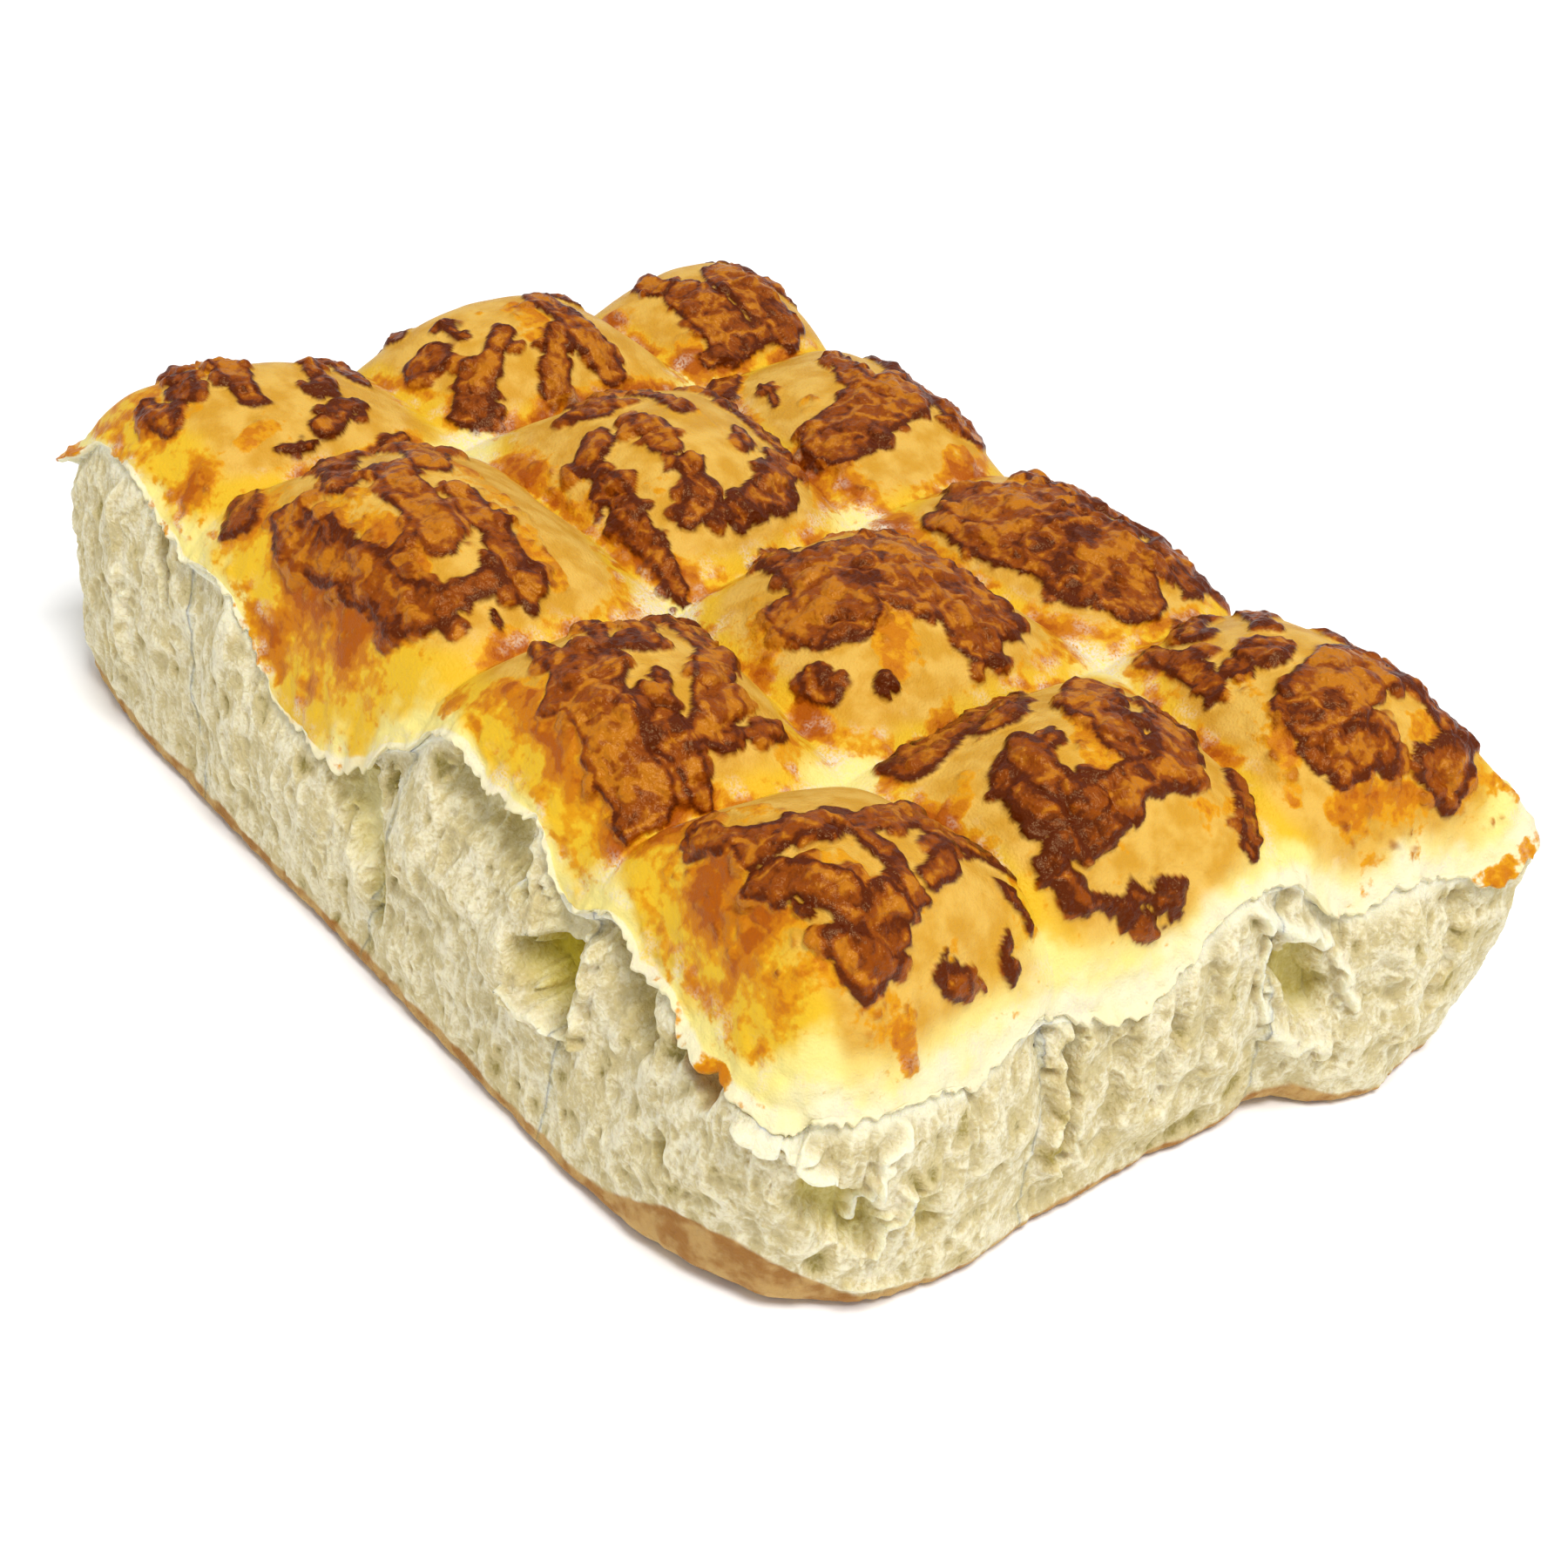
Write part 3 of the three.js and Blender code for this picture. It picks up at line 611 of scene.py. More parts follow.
@dataclass(frozen=True)
class Cheese:
    """Browned cheese: strands from (u, v) to (u, v) with a half width, in half rolls, roll by roll."""

    SEED_SPREAD = 0.42
    SEED_SALT = 2.3
    SEED_NUMBERS = 7

    roll: float = 57.0
    long_rolls: int = 4
    short_rolls: int = 3
    seed_reach: float = 0.8
    seed_waver: float = 0.6
    dome_power: float = 0.6
    big: Blisters = Blisters(4.4, (2.1, 4.0), (0.9, 2.0), 0.92, 40.0)
    small: Blisters = Blisters(2.2, (0.9, 1.7), (0.3, 0.8), 0.6, 50.0)
    crisp: Blisters = Blisters(2.4, (0.9, 1.7), (0.25, 0.6), 0.55, 60.0)
    strands: dict[tuple[int, int], tuple[tuple[float, ...], ...]] = field(default_factory=lambda: {
        (0, 0): ((-0.2, 0.4, 0.3, 0.35, 0.08), (0.5, 0.4, 0.7, 0.15, 0.12), (-0.3, -0.1, 0.25, -0.15, 0.12),
                 (-0.3, -0.4, -0.05, -0.55, 0.1), (-0.3, -0.7, 0.15, -0.7, 0.08),
                 (0.78, -0.05, 0.82, -0.2, 0.06),
                 (0.85, 0.6, 0.9, 0.5, 0.08), (-0.8, 0.3, -0.6, -0.3, 0.12), (-0.5, 0.7, 0.1, 0.75, 0.1)),
        (1, 0): ((0.1, 0.15, 0.75, 0.1, 0.13), (-0.3, -0.05, 0.3, -0.2, 0.15),
                 (0.65, -0.1, 0.65, -0.55, 0.09),
                 (-0.45, -0.65, 0.6, -0.55, 0.12), (-0.95, 0.1, -0.4, -0.35, 0.12),
                 (-0.95, -0.6, -0.75, -0.75, 0.1), (0.22, -0.3, 0.25, -0.5, 0.06),
                 (0.8, -0.2, 0.84, -0.2, 0.05), (-0.9, 0.6, -0.3, 0.2, 0.15)),
        (2, 0): ((-0.9, 0.9, 0.2, 0.5, 0.15), (0.2, 0.5, 0.6, 0.2, 0.15), (0.67, 0.65, 0.67, 0.4, 0.08),
                 (0.62, 0.2, 0.65, -0.05, 0.08), (-0.45, 0.3, -0.15, 0.2, 0.1),
                 (-0.75, 0.15, -0.3, 0, 0.07),
                 (0.15, 0.1, 0.3, 0, 0.08), (-0.35, -0.1, 0, -0.2, 0.15), (-0.2, -0.25, 0, -0.45, 0.2),
                 (-0.6, -0.3, -0.4, -0.35, 0.06), (0.3, -0.1, 0.9, -0.1, 0.12),
                 (0.1, -0.35, 0.9, -0.5, 0.22)),
        (3, 0): ((0.2, 0.95, 0.1, 0.7, 0.25), (-0.02, 0.6, -0.03, 0.1, 0.15), (0.38, 0.45, 0.42, 0.3, 0.1),
                 (0, 0.1, 0.5, 0.12, 0.1), (0.55, -0.12, 0.62, -0.4, 0.16), (0.4, -0.32, 0, -0.5, 0.13),
                 (0.5, 0.1, 0.55, 0.2, 0.06), (0.8, 0.7, 0.82, 0.66, 0.05),
                 (-0.1, 0, -0.2, -0.4, 0.14), (-0.25, -0.4, -0.55, -0.55, 0.12),
                 (-0.72, -0.3, -0.62, -0.6, 0.05),
                 (0.55, 0.82, 0.72, 0.9, 0.06), (0.78, 0.3, 0.78, 0.2, 0.06)),
        (0, 1): ((-0.1, 0.25, 0.8, 0.3, 0.15), (0.4, 0.1, 0.8, -0.2, 0.12), (0.25, -0.25, 0.5, -0.5, 0.1),
                 (0.5, -0.6, 0.75, -0.8, 0.15), (-0.2, -0.5, 0.1, -0.45, 0.06),
                 (0.05, -0.75, 0.1, -0.7, 0.15),
                 (-0.9, -0.5, -0.5, -0.7, 0.08), (-0.8, 0.5, -0.3, 0.6, 0.14)),
        (1, 1): ((0.5, 0.65, 0.7, 0.3, 0.15), (0.7, 0.3, 0.72, -0.1, 0.12), (0.2, 0.4, 0.35, 0.35, 0.08),
                 (-0.5, 0.1, -0.15, 0.1, 0.1), (-0.95, 0.15, -0.5, -0.35, 0.15),
                 (-0.05, -0.25, 0.15, -0.25, 0.13),
                 (0.4, -0.25, 0.6, -0.3, 0.12), (0.6, -0.35, 0.62, -0.5, 0.1),
                 (-0.2, -0.55, -0.15, -0.7, 0.12),
                 (0.1, -0.75, 0.9, -0.85, 0.1), (-0.6, 0.8, 0.2, 0.75, 0.15)),
        (2, 1): ((-0.4, 0.6, 0.5, 0.4, 0.25), (-0.3, 0.1, 0.2, 0.1, 0.3), (-0.35, -0.3, 0.1, -0.4, 0.25),
                 (0.3, 0.2, 0.65, 0.2, 0.2), (-0.2, -0.65, 0.1, -0.6, 0.12), (-1, 0, -0.6, -0.35, 0.12),
                 (0.62, -0.5, 0.66, -0.5, 0.08), (0.3, -0.78, 0.5, -0.8, 0.07)),
        (3, 1): ((-0.95, 0.05, -0.6, -0.25, 0.18), (-0.8, -0.4, -0.75, -0.7, 0.2),
                 (-0.5, 0.45, -0.2, 0.15, 0.2),
                 (-0.2, 0.2, 0.2, 0.1, 0.17), (-0.1, 0.7, 0.35, 0.4, 0.2), (0.45, 0.35, 0.35, -0.35, 0.12),
                 (0.5, -0.1, 0.5, -0.5, 0.1), (-0.15, -0.45, 0.25, -0.5, 0.12),
                 (-0.05, -0.65, 0.5, -0.65, 0.1),
                 (0.5, -0.8, 0.72, -0.68, 0.08), (0.74, -0.6, 0.86, 0.1, 0.05),
                 (0.5, 0.88, 0.78, 0.78, 0.12),
                 (-0.1, -0.2, -0.05, -0.35, 0.06)),
        (0, 2): ((0, 0.1, 0.7, 0.1, 0.25), (0.1, -0.4, 0.7, -0.4, 0.25), (0.75, 0.3, 0.8, -0.7, 0.12),
                 (-0.35, -0.5, -0.25, -0.5, 0.15), (-0.7, 0.6, 0.2, 0.6, 0.2)),
        (1, 2): ((-0.5, 0.1, -0.1, -0.1, 0.12), (0.2, 0.1, 0.3, -0.6, 0.3),
                 (-0.6, -0.65, -0.35, -0.7, 0.06),
                 (-0.9, -0.75, -0.8, -0.9, 0.12), (-0.4, 0.6, 0.6, 0.5, 0.2)),
        (2, 2): ((-0.5, -0.3, 0.6, -0.3, 0.33), (-0.3, 0.05, 0.5, 0.1, 0.2), (-0.6, -0.7, 0.5, -0.65, 0.13),
                 (0.5, 0.3, 0.8, 0.3, 0.12), (-0.5, 0.5, 0.6, 0.6, 0.25)),
        (3, 2): ((-0.95, -0.05, -0.7, -0.35, 0.12), (-0.22, -0.1, -0.2, -0.5, 0.12),
                 (-0.8, -0.65, -0.2, -0.7, 0.12), (0.15, 0.3, 0.3, -0.4, 0.24), (0.6, 0, 0.55, -0.5, 0.12),
                 (0.7, 0.6, 0.75, 0.35, 0.12), (-0.2, 0.65, 0.5, 0.65, 0.18), (-0.7, 0.3, -0.5, 0.1, 0.1)),
    })
    thin: dict[tuple[int, int], tuple[tuple[float, ...], ...]] = field(default_factory=lambda: {
        (3, 0): ((0.2, -0.2, 0.4, -0.15, 0.13), (-0.5, -0.55, 0.5, -0.62, 0.08),
                 (-0.38, -0.08, -0.36, -0.08, 0.05),
                 (-0.6, -0.72, 0.5, -0.75, 0.08), (-0.8, -0.5, -0.5, -0.2, 0.12),
                 (0.8, -0.45, 0.84, -0.12, 0.08)),
        (2, 0): ((0, -0.6, 0.5, -0.7, 0.12), (-0.4, -0.65, -0.1, -0.7, 0.08),
                 (-1, -0.75, -0.8, -0.85, 0.08),
                 (-0.6, 0, -0.4, 0.2, 0.1), (0.3, -0.3, 0.9, -0.7, 0.14)),
        (1, 0): ((-0.3, 0.4, 0.7, 0.3, 0.1), (-0.3, -0.72, 0.3, -0.75, 0.07),
                 (-0.5, -0.35, -0.3, -0.5, 0.1),
                 (-0.2, -0.4, 0.4, -0.4, 0.1)),
        (0, 0): ((0.55, -0.2, 0.65, -0.4, 0.1), (0.65, -0.7, 0.85, -0.9, 0.1), (-0.7, 0, -0.3, -0.2, 0.1)),
        (3, 1): ((-0.3, -0.75, -0.2, -0.9, 0.08), (-0.4, 0.2, 0.2, -0.1, 0.16)),
        (2, 1): ((-0.9, 0.8, -0.4, 0.5, 0.2), (0.3, -0.1, 0.4, -0.3, 0.1), (0.57, -0.35, 0.58, -0.35, 0.03),
                 (-0.5, -0.7, -0.1, -0.85, 0.08), (0.2, -0.2, 0.6, -0.3, 0.14)),
        (1, 1): ((-0.05, 0.25, 0.1, 0.25, 0.03), (-0.4, -0.9, 0.1, -0.85, 0.08),
                 (0.33, -0.57, 0.34, -0.57, 0.03),
                 (-0.27, -0.25, -0.26, -0.25, 0.04), (-0.8, 0, -0.6, 0.2, 0.08)),
        (0, 1): ((-0.15, -0.22, -0.14, -0.22, 0.05), (0.9, 0.6, 0.92, -0.3, 0.07), (0, 0, 0.4, 0, 0.12)),
        (3, 2): ((-0.45, -0.1, -0.44, -0.1, 0.06), (-0.05, -0.6, 0.6, -0.7, 0.1), (0.3, 0, 0.5, -0.3, 0.1),
                 (0.75, -0.4, 0.85, 0.12, 0.13), (0.78, 0.5, 0.88, 0.85, 0.09)),
        (2, 2): ((-0.45, 0, -0.44, 0, 0.06), (-0.85, -0.85, -0.84, -0.84, 0.12), (-0.6, 0.2, 0.6, 0, 0.15)),
        (1, 2): ((-0.15, -0.55, -0.14, -0.55, 0.1), (0.2, -0.8, 0.8, -0.75, 0.1),
                 (0.85, 0.2, 0.86, 0.2, 0.15)),
        (0, 2): ((0.5, -0.75, 0.9, -0.9, 0.12), (-0.3, -0.85, -0.2, -0.85, 0.1)),
    })

    def gap(self, s: Array, t: Array, table: dict[tuple[int, int], tuple[tuple[float, ...], ...]]) -> Array:
        """Distance to the nearest strand's edge: distance to its middle line less its half width.

        Args:
            s: Places along X, in rolls.
            t: Places along Y, in rolls.
            table: The strands of each roll.

        Returns:
            Millimetres, below 0 on a strand.
        """
        i, f = SlabForm.split(s, self.long_rolls)
        j, g = SlabForm.split(t, self.short_rolls)
        gap = np.full(s.shape, 1.0)
        for (roll_i, roll_j), strands in table.items():
            here = (i == roll_i) & (j == roll_j)
            u, v = 2 * f[here] - 1, 2 * g[here] - 1
            best = np.full(u.shape, 1.0)
            for u0, v0, u1, v1, half in strands:
                du, dv = u1 - u0, v1 - v0
                part = np.clip(((u - u0) * du + (v - v0) * dv) / (du * du + dv * dv), 0, 1)
                best = np.minimum(best, np.hypot(u - u0 - du * part, v - v0 - dv * part) - half)
            gap[here] = best
        return gap * self.roll / 2

    def domes(self, points: Array, gap: Array, kind: Blisters) -> tuple[Array, Array]:
        """Height of the blisters: domes on hashed seeds, merged as the cube root of their summed cubes.

        The seeds fill space, one to a cell. A seed's own gap is the mean of the gaps of the places near
        it, weighted by 1 - distance; it rises where that is below 0 or so.

        Args:
            points: Places on the top, (N, 3).
            gap: Distance of each place to the nearest strand's edge.
            kind: The size of blister.

        Returns:
            The height in millimetres, and the tone of the highest dome from -1 to 1.
        """
        cell = np.floor(points / kind.pitch).astype(int)
        low = cell.min(axis=0) - 1
        size = cell.max(axis=0) + 2 - low
        ranges = [low[axis] + np.arange(size[axis]) for axis in range(3)]
        lattice = [places.ravel() for places in np.meshgrid(*ranges, indexing="ij")]
        numbers = [Grain.hash(*lattice, kind.salt + self.SEED_SALT * n) for n in range(self.SEED_NUMBERS)]
        seeds = [(lattice[axis] + 0.5 + self.SEED_SPREAD * numbers[axis]) * kind.pitch for axis in range(3)]
        seeds = np.stack(seeds, axis=-1)
        base = np.ravel_multi_index(tuple((cell - low).T), size)
        near = [np.array(cube) - 1 for cube in np.ndindex(3, 3, 3)]
        steps = [(cube[0] * size[1] + cube[1]) * size[2] + cube[2] for cube in near]
        away = [np.linalg.norm(points - seeds[base + step], axis=-1) for step in steps]
        gaps, weights = np.zeros(len(seeds)), np.full(len(seeds), 1e-6)
        for step, distance in zip(steps, away):
            weight = np.clip(1 - distance / (self.seed_reach * kind.pitch), 0, 1)
            gaps += np.bincount(base + step, gap * weight, minlength=len(seeds))
            weights += np.bincount(base + step, weight, minlength=len(seeds))
        on_strand = (gaps / weights < self.seed_waver * numbers[3]) & (weights > 0.01)
        rises = on_strand & (0.5 + 0.5 * numbers[4] < kind.share)
        radius = mix(kind.radius[0], kind.radius[1], 0.5 + 0.5 * numbers[5])
        height = np.where(rises, mix(kind.height[0], kind.height[1], 0.5 + 0.5 * numbers[6]), 0.0)
        total, best, tone = np.zeros(len(points)), np.zeros(len(points)), np.zeros(len(points))
        for step, distance in zip(steps, away):
            seed = base + step
            part = distance / radius[seed]
            dome = height[seed] * np.clip(1 - part * part, 0, 1) ** self.dome_power
            total += dome**3
            tone = np.where(dome > best, numbers[0][seed], tone)
            best = np.maximum(best, dome)
        return total ** (1 / 3), tone

    def blisters(self, points: Array, gap: Array, kind: Blisters) -> tuple[Array, Array]:
        """Height and tone of one size of blister on a grid of places; nothing rises far from a strand."""
        near = gap < 2 * kind.pitch
        height, tone = np.zeros(gap.shape), np.zeros(gap.shape)
        height[near], tone[near] = self.domes(points[near], gap[near], kind)
        return height, tone


# ---- The sheets -----------------------------------------------------------------------------

# Two masks are painted shade: the crumb's low places and its hollows.
MASKS = ("cheese", "char", "gold", "melt", "toast", "flour", "skin", "pit", "deep", "bake")


@dataclass
class Sheet:
    """A grid of points, (rows, columns, 3) in millimetres, with masks of the same grid."""

    points: Array
    masks: dict[str, Array]

    @classmethod
    def bare(cls, points: Array, **masks: Array) -> "Sheet":
        """A sheet whose masks are 0 but for those given."""
        zero = np.zeros(points.shape[:-1])
        return cls(points, {name: masks.get(name, zero) for name in MASKS})


@dataclass(frozen=True)
class CheesePattern:
    """How the cheese wavers, bends and folds; lengths are in millimetres."""

    waver_x: tuple[Noise, ...] = (Noise(5.5, 1.0, height=1.3), Noise(2.4, 2.0, height=0.6))
    waver_y: tuple[Noise, ...] = (Noise(5.5, 3.0, height=1.3), Noise(2.4, 4.0, height=0.6))
    bends: tuple[Noise, ...] = (Noise(3.2, 12.0, height=1.5), Noise(1.5, 16.0, height=0.5))
    pad_ragged: Noise = Noise(1.8, 5.0, height=0.6)
    pad_edge: Band = Band(-0.2, 1.0)
    pad_rise: float = 0.7
    small_share: float = 0.6
    thin_ragged: Noise = Noise(4.0, 6.0, layers=3, height=1.1)
    thin_edge: Band = Band(-0.3, 0.9)
    thin_rise: float = 0.25
    folds: Noise = Noise(1.9, 15.0)
    fold_middle: float = 0.5
    crumples: Noise = Noise(0.9, 7.0, height=0.4)
    fold_height: float = 0.28
    fold_from: Band = Band(0.1, 0.8)


@dataclass(frozen=True)
class CrustPattern:
    """Where the crust is pale, gold, toasted or floured and the cheese charred: noises, bands, shares."""

    ripple: tuple[Noise, ...] = (Noise(12.0, 8.0, height=0.5), Noise(4.5, 9.0, height=0.16))
    rim_ripple: tuple[Noise, ...] = (Noise(3.0, 10.0, height=0.6), Noise(1.4, 11.0, height=0.3))
    patch: Noise = Noise(14.0, 21.0, layers=4)
    blotch: Noise = Noise(9.0, 22.0, layers=4)
    spots: Noise = Noise(6.5, 23.0, layers=4)
    near_rim: Band = Band(0.4, 0.9)
    cheese_ends: Band = Band(0.85, 1.0)
    cheese_mask: Band = Band(0.2, 0.5)
    cheese_mask_thin: float = 0.25
    skin_waver: float = 0.2
    cheese_mask_ends: Band = Band(0.8, 1.0)
    shoulder_from: Band = Band(0.01, 0.12)
    shoulder_to: Band = Band(0.6, 0.9)
    crossing: Band = Band(0.55, 0.95)
    shoulder_waver: float = 0.15
    crossing_waver: float = 0.2
    crown_waver: float = 0.2
    edge_waver: float = 0.08
    east_share: float = 0.16
    hidden_share: float = 0.4
    gold_crown: Band = Band(0.04, 0.36)
    gold_ends: Band = Band(0.08, 0.35)
    gold_east: Band = Band(0.05, 0.3)
    gold_east_ends: Band = Band(0.03, 0.15)
    gold_crease: Band = Band(0.0, 0.3)
    gold_width: float = 0.9
    pale_width: float = 0.4
    pale_waver: float = 0.5
    pale_least: float = 0.05
    pale_melt: Band = Band(0.3, 0.7)
    pale_toast: Band = Band(0.32, 0.65)
    pale_skin: Band = Band(0.55, 1.0)
    melt_fade: float = 0.9
    melt_waver: float = 0.25
    melt_patch: Band = Band(0.1, 0.5)
    melt_patch_share: float = 0.5
    halo_reach: float = 1.4
    thin_halo: float = 0.8
    thin_halo_reach: float = 2.2
    thin_halo_waver: float = 1.5
    toast_crease: float = 0.9
    toast_gold: float = 0.15
    toast_shoulder: Band = Band(0.08, 0.45)
    toast_shoulder_share: float = 0.5
    toast_open: Band = Band(-0.3, 0.35)
    toast_open_share: float = 1.1
    toast_plain: float = 0.75
    toast_waver: float = 0.5
    toast_pale_share: float = 0.9
    toast_pale_waver: float = 0.35
    toast_thin: float = 0.32
    toast_thin_waver: float = 0.9
    toast_most: float = 1.2
    web: Noise = Noise(4.0, 25.0)
    web_width: float = 0.35
    outline_at: float = 0.6
    outline_spread: float = 0.8
    char_plain: float = 0.62
    char_tone: float = 0.2
    # Painted highlight and shade, with real browning: higher cheese paler, lower cheese darker.
    rise_light_and_char_share: float = 0.2
    char_patch: float = 0.5
    char_web: float = 0.5
    char_crisp: float = 0.25
    rise_light_and_char: Band = Band(0.5, 1.8)
    # Painted shade, with real browning: a dark outline just inside each strand's edge.
    outline_char_and_shade: float = 0.45
    char_thin: float = 0.1
    char_thin_from: Band = Band(0.1, 0.6)
    char_rim: Band = Band(0.02, 0.3)
    char_rim_share: float = 0.12
    flour: Noise = Noise(7.0, 24.0, layers=4)
    flour_from: Band = Band(-0.45, 0.35)
    flour_crown: float = 5.0
    flour_gap: Band = Band(0.0, 1.5)
    flour_crossing: Band = Band(0.0, 0.6)
    fleck: Noise = Noise(3.2, 26.0, layers=3)
    fleck_from: Band = Band(0.0, 0.5)
    fleck_crown: Band = Band(0.05, 0.4)
    fleck_gap: Band = Band(0.0, 1.0)
    fleck_share: float = 0.6


@dataclass(frozen=True)
class Relief:
    """What the cheese does at each place of the top: distances to strands, heights and tones."""

    gap: Array
    thin_gap: Array
    pad: Array
    thin: Array
    bent: Array
    rise: Array
    fine: Array
    tone: Array
    crisp_tone: Array


@dataclass(frozen=True)
class Zones:
    """Parts of the crust that share a finish, and the noise that wavers their edges."""

    patch: Array
    blotch: Array
    spots: Array
    near_rim: Array
    shoulder: Array
    crossing: Array
    gold: Array
    open_crease: Array
    pale_edge: Array


@dataclass
class BakedTop:
    """The baked top: smooth crust with blistered cheese standing on it."""

    form: SlabForm
    cheese: Cheese
    pattern: CheesePattern = CheesePattern()
    crust: CrustPattern = CrustPattern()
    cells_per_roll: int = 150
    crowding: float = 0.35

    def knots(self, count: int) -> Array:
        """Places along a row of rolls, crowded towards the two torn ends of the row.

        Within an end roll the place is x - c x (1 - x), measured from the torn end.

        Args:
            count: Rolls in the row.

        Returns:
            count * cells_per_roll + 1 places, from 0 to count.
        """
        part = np.arange(self.cells_per_roll + 1) / self.cells_per_roll
        crowded = part - self.crowding * part * (1 - part)
        runs = [part + number for number in range(count)]
        runs[0] = crowded
        runs[-1] = count - crowded[::-1]
        return np.concatenate([run[:-1] for run in runs] + [np.array([float(count)])])

    @staticmethod
    def normals(points: Array) -> Array:
        """Unit normals of a grid: the cross product of its two central differences."""
        across = np.cross(np.gradient(points, axis=1), np.gradient(points, axis=0))
        return across / np.maximum(np.linalg.norm(across, axis=-1, keepdims=True), 1e-9)

    def relief(self, plain: Array, s: Array, t: Array) -> Relief:
        """The cheese: soft pads on wavering strands, three sizes of blister, and fine folds.

        The height is the cube root of big^3 + pad^3, plus shares of the small blisters and of the
        thin, crisp cheese.

        Args:
            plain: Places on the plain top, (rows, columns, 3).
            s: Places along X, in rolls.
            t: Places along Y, in rolls.

        Returns:
            The relief at each place.
        """
        cheese, pattern = self.cheese, self.pattern
        waver_x = sum(noise.at(plain) for noise in pattern.waver_x)
        waver_y = sum(noise.at(plain) for noise in pattern.waver_y)
        warp_s = np.clip(s + waver_x / cheese.roll, 0, self.form.long_rolls)
        warp_t = np.clip(t + waver_y / cheese.roll, 0, self.form.short_rolls)
        gap = cheese.gap(warp_s, warp_t, cheese.strands)
        thin_gap = cheese.gap(warp_s, warp_t, cheese.thin)
        pad = pattern.pad_edge.of(pattern.pad_ragged.at(plain) - gap)
        thin = pattern.thin_edge.of(pattern.thin_ragged.at(plain) - thin_gap)
        bent = plain
        for bend in pattern.bends:
            bent = bent + bend.push(plain)
        big, big_tone = cheese.blisters(bent, gap, cheese.big)
        small, small_tone = cheese.blisters(bent, gap, cheese.small)
        crisp, crisp_tone = cheese.blisters(bent, thin_gap, cheese.crisp)
        rise = (big**3 + (pattern.pad_rise * pad) ** 3) ** (1 / 3) + pattern.small_share * small
        rise += pattern.thin_rise * thin + crisp * thin
        folds = pattern.folds.ridges(bent, pattern.fold_middle) + pattern.crumples.at(plain)
        fine = pattern.fold_height * folds * pattern.fold_from.of(rise)
        tone = np.where(big > small, big_tone, small_tone)
        return Relief(gap, thin_gap, pad, thin, bent, rise, fine, tone, crisp_tone)

    def zones(self, places: TopPlaces) -> Zones:
        """Part the crust: torn shoulder, floured crossings, gold crowns, open creases, pale rim.

        Gold lies on the crowns and ends before the torn edges. Down the short torn side in view it
        runs on to a band between the creases.

        Args:
            places: The places on the top.

        Returns:
            The zones from 0 to 1, the pale rim's nearness, and the three noises that waver them.
        """
        crust, side, on_rim = self.crust, places.shoulder, places.on_rim
        patch, blotch, spots = (noise.at(places.points) for noise in (crust.patch, crust.blotch, crust.spots))
        past = crust.shoulder_to.of(on_rim + crust.shoulder_waver * blotch)
        shoulder = crust.shoulder_from.of(on_rim) * (1 - past)
        crossing = crust.crossing.of(np.abs(places.u * places.v) + crust.crossing_waver * blotch)
        hidden = np.maximum(side[Side.NORTH], side[Side.WEST])
        edges = [side[Side.SOUTH], crust.east_share * side[Side.EAST], crust.hidden_share * hidden]
        on_edge = np.maximum.reduce(edges)
        inside = 1 - crust.gold_ends.of(on_edge + crust.edge_waver * blotch)
        gold = crust.gold_crown.of(places.crown + crust.crown_waver * patch) * inside
        east = crust.gold_east.of(side[Side.EAST]) * (1 - crust.gold_east_ends.of(on_edge))
        gold = np.maximum(gold, east * crust.gold_crease.of(crust.gold_width - np.abs(places.v)))
        open_crease = (1 - gold) * (1 - crossing) * (1 - shoulder)
        off_east = 1 - side[Side.EAST] / np.maximum(on_rim, crust.pale_least)
        pale_edge = on_rim - (crust.pale_width - crust.pale_waver * patch) * off_east
        near_rim = crust.near_rim.of(on_rim)
        return Zones(patch, blotch, spots, near_rim, shoulder, crossing, gold, open_crease, pale_edge)

    def melted(self, zones: Zones) -> Array:
        """How yellow the crust is between the gold: all of it, less crossings, rim and some creases.

        Args:
            zones: The crust's zones.

        Returns:
            0 for pale cream to 1 for yellow.
        """
        crust = self.crust
        pale = crust.pale_melt.of(zones.pale_edge + crust.melt_waver * zones.blotch)
        inside = 1 - crust.melt_fade * pale
        melt = (1 - crust.melt_fade * zones.crossing) * inside
        return melt * (1 - crust.melt_patch_share * crust.melt_patch.of(zones.patch) * zones.open_crease)

    def toasted(self, zones: Zones, relief: Relief) -> Array:
        """How toasted the crust is: halos that fade from the strands, and patches in the open.

        Args:
            zones: The crust's zones.
            relief: The cheese.

        Returns:
            0 for none, up to the most.
        """
        crust, blotch, spots = self.crust, zones.blotch, zones.spots
        wide = np.clip(relief.thin_gap + crust.thin_halo_waver * spots, 0, None)
        halo = np.exp(-np.clip(relief.gap, 0, None) / crust.halo_reach)
        halo = halo + crust.thin_halo * np.exp(-wide / crust.thin_halo_reach)
        toast = halo * mix(crust.toast_crease, crust.toast_gold, zones.gold) * (1 - zones.crossing)
        toast = toast * (crust.toast_plain + crust.toast_waver * blotch)
        on_shoulder = crust.toast_shoulder_share * crust.toast_shoulder.of(spots) * zones.shoulder
        toast += on_shoulder + crust.toast_open_share * crust.toast_open.of(spots) * zones.open_crease
        pale = crust.pale_toast.of(zones.pale_edge + crust.toast_pale_waver * spots)
        toast *= 1 - crust.toast_pale_share * pale
        toast += relief.thin * (crust.toast_thin + crust.toast_thin_waver * spots)
        return np.clip(toast, 0, crust.toast_most)

